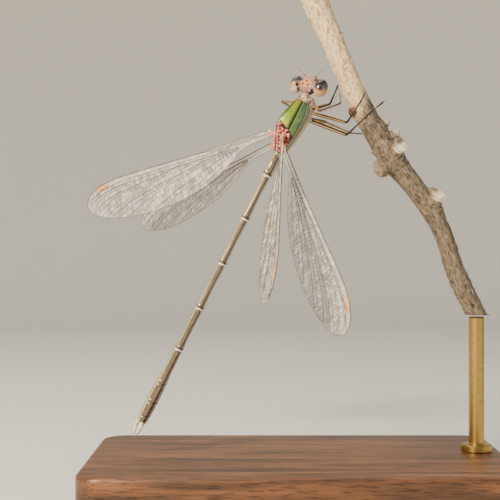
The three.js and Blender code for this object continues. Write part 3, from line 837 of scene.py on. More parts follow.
@dataclass
class Bristles(NodeSet):
    """Stands a thin spike on every point, along the point's own direction."""

    title = "bristles"
    setting = ("Thickness", "Float")

    def grow(self, add: Add, given: Any) -> bpy.types.Node:
        """See NodeSet."""
        spike = add("GeometryNodeMeshCone", None, {
            "Vertices": 4, "Side Segments": 1, "Fill Segments": 1, "Radius Top": 0.0,
            "Radius Bottom": given["Thickness"], "Depth": 1.0})
        way, long = (add("GeometryNodeInputNamedAttribute", {"data_type": kind}, {"Name": name})
                     for name, kind in (("way", "FLOAT_VECTOR"), ("long", "FLOAT")))
        turn = add("FunctionNodeAlignRotationToVector", {"axis": "Z"}, {"Vector": way})
        size = add("ShaderNodeCombineXYZ", None, {"X": 1.0, "Y": 1.0, "Z": long})
        return add("GeometryNodeInstanceOnPoints", None, {
            "Points": given["Geometry"], "Instance": spike, "Rotation": turn, "Scale": size})

    def make(self, name: str, roots: Any, ways: Any, place: Place, thick: float,
             slot: str) -> bpy.types.Object:
        """Runs the set over a list of roots.

        Args:
            name: the piece's name.
            roots: rows of points in millimetres.
            ways: for each, its direction times its length in millimetres.
            place: the frame of both.
            thick: radius at the root in millimetres.
            slot: the record's material slot; not used.

        Returns:
            The piece.
        """
        starts = place.out(roots)
        reach = place.out(np.array(roots) + np.array(ways)) - starts
        values = {"way": reach, "long": np.linalg.norm(reach, axis=1) * MM}
        return finish_piece(name, self.run(name, starts, [], values, thick * MM))


@dataclass
class BodySkin:
    """Thorax and tail as one skin, from the collar to the last ring."""

    sides: int = 72
    step: float = 0.07
    voxel: float = 0.054
    # Place along the body, half width, height of the back and of the underside
    thorax: Sequence[tuple[float, float, float, float]] = (
        (-4.35, 0.44, 0.12, -0.74), (-3.9, 0.66, 0.12, -0.95), (-3.5, 0.86, 0.3, -1.12),
        (-2.6, 1.06, 0.86, -1.4), (-1.7, 1.2, 1.34, -1.66), (-0.7, 1.31, 1.8, -1.84),
        (0.2, 1.34, 1.68, -1.9), (1.1, 1.27, 1.36, -1.92), (1.9, 1.08, 1.05, -1.78),
        (2.45, 0.74, 0.76, -1.42), (2.62, 0.5, 0.45, -1.1))
    # Degrees from the back's middle line, and depth
    sutures: Table = ((50, 0.035), (92, 0.035), (116, 0.03))
    tail_z: float = -0.3
    tail_start: float = -4.35
    tail_end: float = -38.4
    joints: Sequence[float] = (-5.0, -6.85, -12.4, -18.1, -23.8, -29.0, -33.4, -35.8, -37.5)
    tail: Table = (
        (-38.4, 0.42), (-38.1, 0.55), (-37.5, 0.6), (-36.6, 0.65), (-35.8, 0.68), (-34.6, 0.66),
        (-33.4, 0.63), (-32.0, 0.54), (-29.0, 0.5), (-26.5, 0.44), (-23.8, 0.48), (-21.0, 0.42),
        (-18.1, 0.48), (-15.2, 0.41), (-12.4, 0.48), (-9.6, 0.4), (-6.85, 0.5), (-5.9, 0.59),
        (-5.0, 0.54), (-4.32, 0.43))
    # Each chain of hinge plates: distance from the middle line at its front and rear, and plates
    chains: Sequence[tuple[float, float, int]] = (
        (0.26, 0.3, 8), (0.55, 0.52, 8), (0.84, 0.7, 7), (1.08, 0.84, 7))
    hip_radii: Sequence[float] = (0.42, 0.36, 0.27)
    # Centre and half lengths of the prothorax's rear lobe, humps and front lobe
    lobes: Sequence[tuple[float, ...]] = (
        (2.62, 0, -0.25, 0.26, 0.82, 0.8), (2.98, 0.38, 0.12, 0.34, 0.33, 0.3),
        (2.95, 0.55, -0.75, 0.42, 0.34, 0.5), (2.98, -0.22, 0.12, 0.34, 0.33, 0.3),
        (2.95, -0.45, -0.75, 0.42, 0.34, 0.5), (3.0, 0.05, -0.35, 0.45, 0.66, 0.6),
        (3.38, 0.16, -0.12, 0.18, 0.55, 0.45))

    def thorax_at(self, x: Any) -> tuple[Any, Any, Any, Any]:
        """The thorax's half width, back, underside and widest height at each place."""
        wide, top, low = (along([(row[0], row[i]) for row in self.thorax], x) for i in (1, 2, 3))
        return wide, top, low, low + 0.45 * (top - low)

    @staticmethod
    def keel(angle: Any) -> Any:
        """The share of an ellipse's reach that the section keeps above its widest height."""
        return 1 - 0.1 * np.abs(np.sin(2 * angle)) ** 1.5

    def section(self, x: float) -> np.ndarray:
        """The points round the body at one place along it."""
        angles = corners(self.sides)
        sine, cosine = np.sin(angles), np.cos(angles)
        if x < self.tail_start:
            # A lip behind each joint and a step in after it
            radius = along(self.tail, x) + sum(
                hump(x, at + 0.18, 0.3) * 0.04 - hump(x, at - 0.06, 0.12) * 0.07 for at in self.joints)
            y, z = cosine * radius, self.tail_z + sine * radius
        else:
            wide, top, low, middle = self.thorax_at(x)
            ridge = 0.07 * np.exp(-((np.abs(angles - math.pi / 2) / 0.07) ** 2)) * (x > -0.8)
            fold = np.abs(np.arctan2(np.abs(cosine), sine))
            shrink = np.where(sine > 0, self.keel(angles), 1) - sum(
                depth * np.exp(-((fold - math.radians(degrees)) / 0.05) ** 2)
                for degrees, depth in self.sutures)
            height = np.where(sine > 0, top - middle, middle - low)
            y, z = cosine * wide * shrink, middle + sine * height * shrink + ridge
        return np.stack([np.full(self.sides, x), -y, z], axis=1)

    def outer(self, points: np.ndarray) -> np.ndarray:
        """How far points stand out of the plain thorax, in millimetres."""
        x, y, z = points.T
        wide, top, low, middle = self.thorax_at(x)
        half = np.where(z > middle, top - middle, middle - low)
        across, up = y / wide, (z - middle) / half
        angle = np.arctan2(up, across)
        reach = np.hypot(up, across) - np.where(z > middle, self.keel(angle), 1)
        return reach * np.hypot(np.cos(angle) * wide, np.sin(angle) * half)

    def top_at(self, x: float, y: float) -> float:
        """Height of the plain thorax over one spot."""
        wide, top, _, middle = self.thorax_at(x)
        angle = math.acos(min(0.98, abs(y) / wide))
        return middle + math.sin(angle) * (top - middle) * self.keel(angle)

    def joint_marks(self, x: np.ndarray, past: float, width: float, gain: float, most: float) -> np.ndarray:
        """The share of a mark that goes round the tail at each long ring's joint.

        Args:
            x: places along the body.
            past: how far the mark's middle is from the joint.
            width: half its width.
            gain: its share in the middle before the limit.
            most: the limit.
        """
        humps = [hump(x, joint + past, width) * gain for joint in self.joints[1:6]]
        return np.clip(np.maximum.reduce(humps), 0, most)

    def hinges(self, draft: Draft) -> None:
        """Adds the pads under the wing roots and the chains of small hard plates between them."""
        rng = np.random.default_rng(SEED)
        for side in BOTH_SIDES:
            draft.add_ball((-2.25, side * 0.8, 0.9), (0.5, 0.3, 0.32))
            draft.add_ball((-3.35, side * 0.76, 0.04), (0.44, 0.3, 0.3))
            for arm in (((-2.3, 0.85, 1.0), (-2.5, 1.3, 1.2)), ((-3.4, 0.8, 0.1), (-3.65, 1.3, 0.14))):
                draft.add_tube(np.array(arm) * (1, side, 1), ((0.3, 0.16), (0.42, 0.1)), 16)
            for chain, (front, rear, count) in enumerate(self.chains):
                for i in range(count):
                    share = (i + 0.5 * (chain % 2)) / (count - 1)
                    x = -1.1 - 0.17 * chain - (2.55 - 0.24 * chain) * share
                    y = side * (front + (rear - front) * share + rng.uniform(-0.05, 0.05))
                    size = rng.uniform(0.1, 0.19)
                    turn = Matrix.Rotation(rng.uniform(-0.5, 1.5) * side, 4, "Z")
                    halves = (size * rng.uniform(1.4, 2.3), size, size * rng.uniform(0.9, 1.3))
                    draft.add_ball((x, y, self.top_at(x, y)), halves, 14, turn)
        for x in -1.1 - 0.42 * np.arange(7):
            draft.add_ball((x, 0, self.top_at(x, 0)), (0.24, 0.11, 0.1), 14)
        draft.add_ball((-0.86, 0, self.top_at(-0.86, 0) - 0.04), (0.3, 0.26, 0.12), 18)

    def make(self, material: bpy.types.Material, hips: Sequence[Point]) -> bpy.types.Object:
        """Builds the skin.

        Args:
            material: the cuticle.
            hips: where the legs start.

        Returns:
            The piece.
        """
        draft = Draft()
        places = np.arange(self.tail_end, self.thorax[-1][0] + self.step / 2, self.step)
        draft.add_rings(np.array([self.section(float(x)) for x in places])[:, ::-1])
        self.hinges(draft)
        for row in self.lobes:
            draft.add_ball(row[:3], row[3:])
        draft.add_tube(((3.2, 0.1, -0.35), (3.6, 0.25, -0.3), (4.1, 0.4, -0.25)), (0.4, 0.34, 0.34), 20)
        for x, y, z in hips:
            path = ((x, y * 0.4, z + 0.7), (x, y * 0.75, z + 0.32), (x, y, z - 0.02))
            draft.add_tube(path, self.hip_radii, 20, (1, 0, 0))
            draft.add_ball((x, y, z), (self.hip_radii[-1],) * 3, 16)
        skin = draft.fused(self.voxel)
        points = np.array(skin.verts)
        x, y, z = points.T
        turn = np.arctan2(np.abs(y), z - np.where(x < self.tail_start, self.tail_z, -0.1)) / math.pi
        # The hinges start behind the thorax's slanting edge and end at the tail and at the sides
        edge = -0.72 - np.clip(turn - 0.04, 0, 1) * 2.2
        hinge = np.clip((edge - x) / 0.07, 0, 1) * np.clip((x + 4.1) / 0.2, 0, 1)
        hinge *= np.clip((0.47 - turn + 0.05 * (x + 3)) / 0.03, 0, 1)
        values = {
            "turn": turn, "place": x, "hinge": hinge, "collar": np.clip((x - 2.42) / 0.08, 0, 1),
            "ring": self.joint_marks(x, -0.06, 0.11, 2.2, 1.0),
            "band": self.joint_marks(x, 0.17, 0.2, 1.2, 0.6),
            "lump": np.clip(self.outer(points), -0.1, 0.4),
            "midline": np.clip((0.15 - np.abs(y)) / 0.05, 0, 1),
        }
        nodes = ["synthorax", "prothorax", *(f"abdomen_{i:02d}" for i in range(1, 11))]
        return skin.piece("body_skin", INSECT, "thorax", nodes, material, values)


@dataclass
class Claspers:
    """The two cream pincers at the tail's end and the two short lower ones."""

    root: float = -38.3
    long: float = 1.6
    tail_z: float = -0.3
    radii: Table = ((0, 0.22), (0.2, 0.22), (0.5, 0.19), (0.85, 0.15), (1, 0.04))
    lower_long: float = 0.55
    lower_radii: Table = ((0, 0.17), (0.6, 0.12), (1, 0.04))

    def make(self, material: bpy.types.Material) -> bpy.types.Object:
        """Builds the claspers as one piece."""
        draft = Draft()
        t = np.linspace(0, 1, 22)
        for side in BOTH_SIDES:
            bow = side * (0.3 + 0.2 * np.sin(math.pi * np.minimum(1, t * 1.05)) - 0.16 * t ** 3)
            path = np.stack([self.root - self.long * t, bow, self.tail_z + 0.18 - 0.2 * t ** 2], axis=1)
            draft.add_tube(path, along(self.radii, t), 18)
            lower = np.stack([self.root - self.lower_long * t, side * (0.2 - 0.05 * t),
                              self.tail_z - 0.22 - 0.05 * t], axis=1)
            draft.add_tube(lower, along(self.lower_radii, t), 14)
        return draft.piece("claspers", INSECT, "cercus", ["cercus_left", "cercus_right"], material)


@dataclass
class Head:
    """Head capsule, eyes and feelers."""

    eye_apart: float = 3.5
    eye_halves: Point = (1.06, 0.75, 0.86)
    small_eyes: Table = ((0.35, 0.0), (-0.1, 0.34), (-0.1, -0.34))
    small_eye_height: float = 0.74
    voxel: float = 0.04
    hairs: int = 150
    hair_thick: float = 0.008
    feeler_radii: Table = ((0, 0.12), (0.1, 0.12), (0.13, 0.08), (0.16, 0.09), (0.28, 0.085),
                           (0.32, 0.045), (0.6, 0.04), (1, 0.018))
    # Centre, half lengths and sides: skull, brow, face, mouth, back of the head, crown, then by
    # the pair jaws, feeler roots, rear lobes and eye rims
    balls: Sequence[tuple[float, ...]] = (
        (0, 0, 0.05, 0.9, 1.45, 0.72, 32), (0.7, 0, 0.1, 0.46, 0.9, 0.46, 28),
        (1.0, 0, -0.2, 0.34, 0.72, 0.28, 28), (1.08, 0, -0.6, 0.36, 0.66, 0.3, 24),
        (0.98, 0, -1.0, 0.36, 0.56, 0.28, 24), (0.6, 0, -1.2, 0.44, 0.5, 0.3, 24),
        (-0.6, 0, -0.05, 0.36, 0.8, 0.52, 24), (-0.84, 0, -0.12, 0.22, 0.45, 0.4, 20),
        (0.02, 0, 0.62, 0.28, 0.5, 0.14, 20), (0.62, 0.74, -0.8, 0.4, 0.2, 0.4, 20),
        (0.82, 0.66, 0.42, 0.24, 0.22, 0.22, 16), (-0.62, 0.62, 0.25, 0.2, 0.3, 0.22, 16),
        (-0.5, 1.05, 0.1, 0.22, 0.3, 0.4, 16))

    def make_skull(self, material: bpy.types.Material) -> bpy.types.Object:
        """Builds the head capsule with brow, face, mouth and the three small eyes."""
        draft = Draft()
        draft.add_balls(self.balls)
        for x, y in self.small_eyes:
            draft.add_ball((x, y, self.small_eye_height - 0.03), (0.12, 0.12, 0.11), 14)
        skin = draft.fused(self.voxel)
        points = np.array(skin.verts)
        x, y, z = points.T
        near = np.linalg.norm((points - (0.05, 0.0, 0.74)) / (0.42, 0.55, 0.4), axis=1)
        eye_gaps = [np.linalg.norm(points - (*at, self.small_eye_height), axis=1) for at in self.small_eyes]
        black = np.clip((0.15 - np.minimum.reduce(eye_gaps)) / 0.03, 0, 1)
        notch = np.clip((-0.38 - x) / 0.1, 0, 1) * np.clip((np.abs(y) - 0.72) / 0.1, 0, 1)
        rear = np.clip((-0.6 - x) / 0.1, 0, 1) * np.clip((0.3 - z) / 0.2, 0, 1)
        values = {"orange": np.clip((1.1 - near) / 0.3, 0, 1),
                  "black": np.maximum.reduce([black, notch, rear])}
        return skin.piece("head_skin", HEAD, "head", ["head"], material, values)

    def make_eye(self, side: Side) -> bpy.types.Object:
        """Builds one compound eye."""
        draft = Draft()
        at = np.array((0, side.value * self.eye_apart / 2, 0))
        draft.add_ball(at, self.eye_halves, 64)
        ways = (np.array(draft.verts) - at) / self.eye_halves
        # The false pupil faces the camera
        look = unit((-0.28, -0.62, 0.76) if side is Side.RIGHT else (-0.2, -0.72, 0.68))
        rim = np.clip((-side.value * ways[:, 1] - 0.2) / 0.15, 0, 1)
        rim *= np.clip((-ways[:, 0] - 0.35) / 0.2, 0, 1)
        values = {"height": 0.5 + 0.5 * (ways @ unit((0.86, side.value * 0.1, 0.5))),
                  "pupil": np.clip((ways @ look - 0.955) / 0.02, 0, 1), "rim": rim}
        name = f"eye_{side.word}"
        # The left eye is painted paler than the right as painted sun glare
        finish = CompoundEye(f"compound_{name}", -0.2 if side is Side.LEFT else -0.02)
        return draft.piece(f"{name}_globe", HEAD, "eye", [name], finish.make(), values)

    def make_feeler(self, side: Side, material: bpy.types.Material) -> bpy.types.Object:
        """Builds one antenna: two thick joints and a thin curved whip."""
        t = np.linspace(0, 1, 40)[:, None]
        root, bend = (np.array((x, side.value * y, z)) for x, y, z in ((0.9, 0.72, 0.46), (1.4, 1.0, 0.66)))
        tip = np.array((1.85, 2.2, 0.95) if side is Side.LEFT else (2.0, -1.58, 0.62))
        path = (1 - t) ** 2 * root + 2 * t * (1 - t) * bend + t ** 2 * tip
        draft = Draft()
        draft.add_tube(path, along(self.feeler_radii, t[:, 0]), 12)
        name = f"antenna_{side.word}"
        return draft.piece(f"{name}_whip", HEAD, "head", [name], material)

    def make_hair(self, bristles: Bristles) -> bpy.types.Object:
        """Builds the short pale hair on the brow and face."""
        rng = np.random.default_rng(SEED)
        roots, ways = [], []
        for _ in range(self.hairs):
            angle, y = rng.uniform(-0.5, 1.4), rng.uniform(-0.78, 0.78)
            roots.append((0.62 + 0.4 * math.cos(angle), y, 0.1 + 0.42 * math.sin(angle)))
            forward = unit((math.cos(angle), y * 0.5, math.sin(angle)))
            ways.append(forward * rng.uniform(0.22, 0.42) + rng.normal(0, 0.05, 3))
        return bristles.make("head_hair", roots, ways, HEAD, self.hair_thick, "head")


@dataclass
class Leg:
    """One leg: thigh, shin and foot on one path with rounded joints, and its bristles."""

    name: str
    points: Sequence[Point]
    corner: float = 0.22
    sides: int = 16
    spine_gap: float = 0.2
    spine_thick: float = 0.014

    def __post_init__(self) -> None:
        """Measures the middle line, the length along it and the places of knee, ankle and claw."""
        joints = np.array(self.points)
        pieces = [joints[:1]]
        for before, at, after in zip(joints, joints[1:], joints[2:]):
            into, away = at + unit(before - at) * self.corner, at + unit(after - at) * self.corner
            pieces.append(np.linspace(pieces[-1][-1], into, 26)[1:])
            t = np.linspace(0, 1, 9)[1:, None]
            pieces.append((1 - t) ** 2 * into + 2 * t * (1 - t) * at + t ** 2 * away)
        pieces.append(np.linspace(pieces[-1][-1], joints[-1], 26)[1:])
        self.line = np.vstack(pieces)
        steps = np.linalg.norm(np.diff(self.line, axis=0), axis=1)
        self.length = np.concatenate([[0], np.cumsum(steps)])
        self.knee, self.ankle, self.end = (
            float(self.length[np.argmin(np.linalg.norm(self.line - joint, axis=1))]) for joint in joints[1:])

    def make(self, material: bpy.types.Material) -> bpy.types.Object:
        """Builds the leg's skin."""
        knee, ankle, end = self.knee, self.ankle, self.end
        thick = {"fore": 0.19, "mid_": 0.2, "hind": 0.25}[self.name[4:8]]
        radii = along(((0, thick * 0.9), (knee * 0.25, thick), (knee * 0.75, thick * 0.85),
                       (knee - 0.1, thick * 0.72), (knee + 0.15, 0.125), (knee + 0.5, 0.115),
                       (ankle - 0.2, 0.1), (ankle, 0.11), (ankle + 0.2, 0.075), (end - 0.15, 0.065),
                       (end, 0.03)), self.length)
        foot = (self.length - ankle) / (end - ankle)
        radii -= 0.018 * (foot > 0.05) * (np.abs(np.sin(foot * math.pi * 3)) < 0.25)
        draft = Draft()
        draft.add_tube(self.line, radii, self.sides)
        tip = np.array(self.points[3])
        way = unit(tip - self.points[2])
        across = unit(np.cross(way, (0.2, 0.3, 1.0)))
        t = np.linspace(0, 1, 8)[:, None]
        for spread in (-1, 1):
            claw = tip - way * 0.04 + way * 0.2 * t + across * spread * 0.1 * np.sin(t * 2.2)
            draft.add_tube(claw, along(((0, 0.035), (1, 0.012)), t[:, 0]), 8)
        around = np.tile(corners(self.sides)[::-1], len(self.line))
        where = np.repeat(self.length, self.sides)
        double = np.clip(0.5 + 1.6 * np.cos(around * 4 + 0.8), 0, 1)
        stripe = np.where(where < knee - 0.12, 0.15 + 0.68 * double, 0.28 + 0.4 * (np.sin(around) > 0.2))
        stripe = np.where(np.abs(where - knee) < 0.16, 0.75, stripe)
        stripe = np.where(where > ankle - 0.1, 0.55, stripe)
        values = np.full(len(draft.verts), 0.6)
        values[:len(stripe)] = stripe * (0.55 if "fore" in self.name else 1)
        nodes = [f"{self.name}_{part}" for part in ("femur", "tibia", "tarsus")]
        return draft.piece(f"{self.name}_skin", INSECT, "leg", nodes, material, {"stripe": values})

    def make_spines(self, bristles: Bristles) -> bpy.types.Object:
        """Builds the two rows of long bristles below thigh and shin."""
        rng = np.random.default_rng(SEED)
        tangents = np.gradient(self.line, axis=0)
        roots, ways = [], []
        for run in np.arange(0.35, self.end - 0.2, self.spine_gap):
            i = int(np.searchsorted(self.length, run))
            tangent = unit(tangents[i])
            down = np.array((0.35 if "hind" in self.name else -0.2, 0.0, -1.0))
            down = unit(down - tangent * down.dot(tangent))
            side = np.cross(tangent, down)
            long = 0.3 if run < self.knee else (0.5 if run < self.ankle - 0.2 else 0.16)
            for spread in (-1, 1):
                way = unit(down + side * spread * 0.85 + tangent * rng.uniform(0.35, 0.6))
                roots.append(self.line[i] + way * 0.05)
                ways.append(way * (long * rng.uniform(0.8, 1.15) + 0.06))
        return bristles.make(f"{self.name}_bristles", roots, ways, INSECT, self.spine_thick, "leg")


@dataclass(frozen=True)
class Vein:
    """One long vein: its middle line as [share of the wing's length, millimetres forward of its axis]."""

    line: Table
    crest: int
    radius: float = 0.03
    zigzag: float = 0.0

    @property
    def ends(self) -> tuple[float, float]:
        """The shares of the wing's length where the vein starts and ends."""
        return self.line[0][0], self.line[-1][0]


@dataclass
class Wing:
    """One wing: a pleated clear plate, its veins and its coloured cell."""

    pair: WingPair
    side: Side
    long: float
    root: Point
    span: Point
    chord: Point
    leading: Table = ((0, 0.42), (0.12, 0.6), (0.3, 0.86), (0.5, 1.29), (0.7, 1.76), (0.83, 1.94),
                      (0.92, 1.68), (0.95, 1.42), (0.975, 1.08), (0.99, 0.68), (1, 0.1))
    trailing: Table = ((0, 0.42), (0.14, 0.5), (0.22, 1.5), (0.34, 2.75), (0.48, 3.38), (0.66, 3.5),
                       (0.82, 2.9), (0.92, 2.08), (0.95, 1.7), (0.975, 1.3), (0.99, 0.8), (1, 0.1))
    spans: int = 190
    chords: int = 48
    half_thick: float = 0.012
    pleat: float = 0.09
    nodus: float = 0.37
    stigma: tuple[float, float] = (0.865, 0.93)
    cell_long: float = 0.48
    # Shares of the length where the small cells start and end, and the two thick cross veins' places
    cells_from: float = 0.17
    cells_to: float = 0.985
    thick_crossings: tuple[float, float] = (0.19, 0.27)
    trailing_radius: float = 0.028
    leading_radius: float = 0.05
    cross_radius: float = 0.022
    tones: int = 200
    veins: tuple[Vein, ...] = (
        Vein(((0, 0.28), (0.12, 0.42), (0.3, 0.72), (0.37, 0.98)), -1, 0.035),
        Vein(((0, 0.1), (0.12, 0.2), (0.3, 0.42), (0.5, 0.85), (0.7, 1.22), (0.83, 1.36), (0.92, 1.05),
              (0.97, 0.6), (0.993, 0.15)), 1, 0.045),
        Vein(((0.16, 0.0), (0.3, 0.14), (0.38, 0.3), (0.5, 0.5), (0.7, 0.85), (0.83, 0.95), (0.92, 0.6),
              (0.97, 0.12), (0.99, -0.3)), -1, 0.035),
        Vein(((0.7, 0.6), (0.76, 0.58), (0.83, 0.56), (0.92, 0.12), (0.982, -0.8)), 1, 0.025, 0.03),
        Vein(((0.48, 0.44), (0.56, 0.28), (0.7, 0.28), (0.83, 0.16), (0.92, -0.36), (0.972, -1.12)), -1,
             0.032),
        Vein(((0.72, -0.02), (0.83, -0.22), (0.9, -0.72), (0.96, -1.42)), 1, 0.025, 0.04),
        Vein(((0.33, 0.12), (0.42, 0.0), (0.5, -0.06), (0.7, -0.32), (0.83, -0.72), (0.9, -1.26),
              (0.945, -1.72)), 1, 0.032),
        Vein(((0.64, -0.48), (0.75, -0.8), (0.85, -1.36), (0.922, -1.94)), -1, 0.025, 0.04),
        Vein(((0.28, 0.0), (0.42, -0.32), (0.5, -0.5), (0.66, -0.9), (0.78, -1.45), (0.89, -2.3)), -1, 0.034),
        Vein(((0.54, -0.84), (0.66, -1.28), (0.76, -1.84), (0.85, -2.7)), 1, 0.025, 0.05),
        Vein(((0.16, -0.08), (0.28, -0.3), (0.42, -0.78), (0.5, -1.06), (0.62, -1.56), (0.72, -2.2),
              (0.81, -2.9)), 1, 0.034),
        Vein(((0.5, -1.42), (0.58, -1.84), (0.66, -2.4), (0.745, -3.15)), -1, 0.025, 0.05),
        Vein(((0.16, -0.14), (0.24, -0.5), (0.34, -1.06), (0.44, -1.66), (0.54, -2.3), (0.66, -3.28)), -1,
             0.034),
        Vein(((0.38, -1.7), (0.46, -2.2), (0.54, -2.76), (0.59, -3.3)), 1, 0.025, 0.05),
        Vein(((0.16, -0.22), (0.22, -0.74), (0.3, -1.42), (0.38, -2.1), (0.46, -2.72), (0.515, -3.28)), 1,
             0.03),
        Vein(((0.26, -1.6), (0.34, -2.24), (0.4, -2.9)), -1, 0.025),
    )

    @property
    def name(self) -> str:
        """The node's name."""
        return f"{self.pair.value}_{self.side.word}"

    def place(self) -> Place:
        """The wing's frame: X out along it, Y to its leading edge, Z across."""
        return Place(self.root, self.span, np.array(self.chord) * -self.side.value, INSECT)

    def edges(self, s: float) -> tuple[float, float]:
        """Where the trailing and leading edges are across the wing at one share of its length."""
        return -along(self.trailing, s), along(self.leading, s)

    def heights(self, s: float) -> tuple[np.ndarray, np.ndarray]:
        """The long veins that one station crosses.

        Args:
            s: share of the wing's length.

        Returns:
            Their places across the wing in rising order and their heights above its plane.
        """
        trail, lead = self.edges(s)
        rows = [(trail, 0.0, 1.0), (lead, 0.0, 1.0)]
        for vein in self.veins:
            first, last = vein.ends
            if first <= s <= last:
                y = min(max(along(vein.line, s), trail + 0.01), lead - 0.01)
                # A vein's pleat fades in and out at its ends
                rows.append((y, vein.crest * self.pleat, min(1.0, (s - first) / 0.06, (last - s) / 0.03)))
        ys, crests, grown = np.array(sorted(rows)).T
        full = grown >= 1.0
        between = np.interp(ys, ys[full], crests[full])
        zs = between + (crests - between) * grown
        return ys, zs * min(1.0, max(0.0, s / 0.08), (1 - s) / 0.05)

    def surface(self, s: float, ys: np.ndarray) -> np.ndarray:
        """Points on the wing's middle surface at one station."""
        sign = self.side.value
        return np.stack([np.full(len(ys), s * self.long), ys * sign, np.interp(ys, *self.heights(s)) * sign],
                        axis=-1)

    def crossings(self) -> list[tuple[float, float, float, float, int]]:
        """Cross veins, as the upper end, the lower end and the number of the row."""
        rng = np.random.default_rng(SEED + 2 * (self.pair is WingPair.HIND) + (self.side is Side.RIGHT))
        ladder = self.cell_long / self.long
        found: list[tuple[float, float, float, float, int]] = []
        for row, vein in enumerate((None, *self.veins)):
            first, last = vein.ends if vein else (0.0, 1.0)
            s = max(first, self.cells_from if vein else self.nodus) + ladder * (0.45 + 0.5 * (row % 2))
            while s < min(last, self.cells_to):
                in_stigma = vein is None and self.stigma[0] - 0.004 < s < self.stigma[1] + 0.004
                rows, _ = self.heights(s)
                top = along(vein.line, s) if vein else rows[-1]
                below = rows[rows < top - 0.05]
                if len(below) and not in_stigma:
                    found.append((s, top, s + rng.uniform(-0.1, 0.1) * ladder, below[-1], row))
                # Cells are shorter along the leading edge and towards the tip
                step = 0.85 if row == 0 else (1.12 if row < 3 else (1.0 if s < 0.7 else 0.82))
                s += ladder * step * rng.uniform(0.86, 1.14)
        for s in self.thick_crossings:
            found.append((s, self.heights(s)[0][-1], s, along(self.veins[1].line, s), 0))
        return found

    def make_membrane(self, material: bpy.types.Material) -> bpy.types.Object:
        """Builds the clear plate, with a random painted sheen for every cell."""
        stations: dict[int, list[float]] = {}
        for s, _, _, _, row in self.crossings():
            stations.setdefault(row, []).append(s)
        table = np.random.default_rng(SEED).uniform(0, 1, (len(self.veins) + 2, self.tones))
        points, tones = [], []
        for s in np.linspace(-0.012, 1, self.spans + 1):
            inside = min(max(s, 0.0), 1.0)
            ys = np.linspace(*self.edges(inside)[::-1], self.chords + 1)
            points.append(self.surface(inside, ys))
            points[-1][:, 0] = s * self.long
            active = [(along(v.line, inside), i + 1) for i, v in enumerate(self.veins)
                      if v.ends[0] <= inside <= v.ends[1]]
            cell_glints = []
            for y in ys:
                row = min((a for a in active if a[0] >= y), default=(0, 0))[1]
                tone = table[row, int(np.searchsorted(stations.get(row, []), inside)) % self.tones]
                # Painted sheen: cells along the leading edge get only the brighter painted glints
                cell_glints.append(0.62 + 0.38 * tone if row < 2 else tone)
            tones.append(cell_glints + cell_glints[::-1])
        middle, lift = np.array(points), (0, 0, self.half_thick)
        # Each station is one ring: over the upper face and back under the lower one
        rings = np.concatenate([middle + lift, (middle - lift)[:, ::-1]], axis=1)
        width, end = rings.shape[1], self.spans * rings.shape[1]
        faces = [face for i in range(self.spans) for face in band(i * width, (i + 1) * width, width)]
        for j in range(self.chords):
            faces.append((j, width - 1 - j, width - 2 - j, j + 1))
            faces.append((end + j, end + j + 1, end + width - 2 - j, end + width - 1 - j))
        draft = Draft()
        draft.add(rings.reshape(-1, 3), faces if self.side is Side.LEFT else [f[::-1] for f in faces])
        return draft.piece(f"{self.name}_membrane", self.place(), "wing", [self.name], material,
                           {"cell": np.array(tones).ravel()})

    def make_veins(self, tubes: VeinTubes) -> bpy.types.Object:
        """Builds the net of veins as round tubes along both kinds of line."""
        stations = np.linspace(0, 1, 170)
        lines = [([(s, self.edges(s)[1]) for s in stations], self.leading_radius),
                 ([(s, self.edges(s)[0]) for s in stations], self.trailing_radius)]
        for vein in self.veins:
            spots = []
            for i, s in enumerate(np.arange(*vein.ends, self.cell_long / self.long / 2)):
                trail, lead = self.edges(s)
                y = along(vein.line, s) + vein.zigzag * (-1) ** (i // 2)
                spots.append((s, min(max(y, trail), lead)))
            lines.append((spots, vein.radius))
        lines += [([(s, top), (s_low, low)], self.cross_radius)
                  for s, top, s_low, low, _ in self.crossings()]
        drawn = [(np.array([self.surface(s, np.array([y]))[0] for s, y in spots]), radius)
                 for spots, radius in lines]
        return tubes.make(f"{self.name}_veins", drawn, self.place())

    def make_stigma(self, material: bpy.types.Material) -> bpy.types.Object:
        """Builds the thick coloured cell near the tip, a little proud of the membrane on both sides."""
        swell = np.zeros((6, 3))
        swell[:, 2] = 0.03 + 0.035 * np.sin(np.linspace(0, math.pi, 6))
        rings = []
        for s in np.linspace(*self.stigma, 16):
            ys = np.linspace(self.edges(s)[1] - 0.05, along(self.veins[1].line, s) + 0.04, 6)
            points = self.surface(s, ys)
            rings.append(np.concatenate([points + swell, (points - swell)[::-1]])[::self.side.value])
        draft = Draft()
        draft.add_rings(np.array(rings))
        return draft.piece(f"{self.name}_stigma", self.place(), "wing", (), material)


class KnobKind(Enum):
    """What a knob on the twig is, and how bare the wood is at its end."""

    BUD = 0.35
    SCALES = 0.05
    SCAR = 0.0
    STUB = 0.12


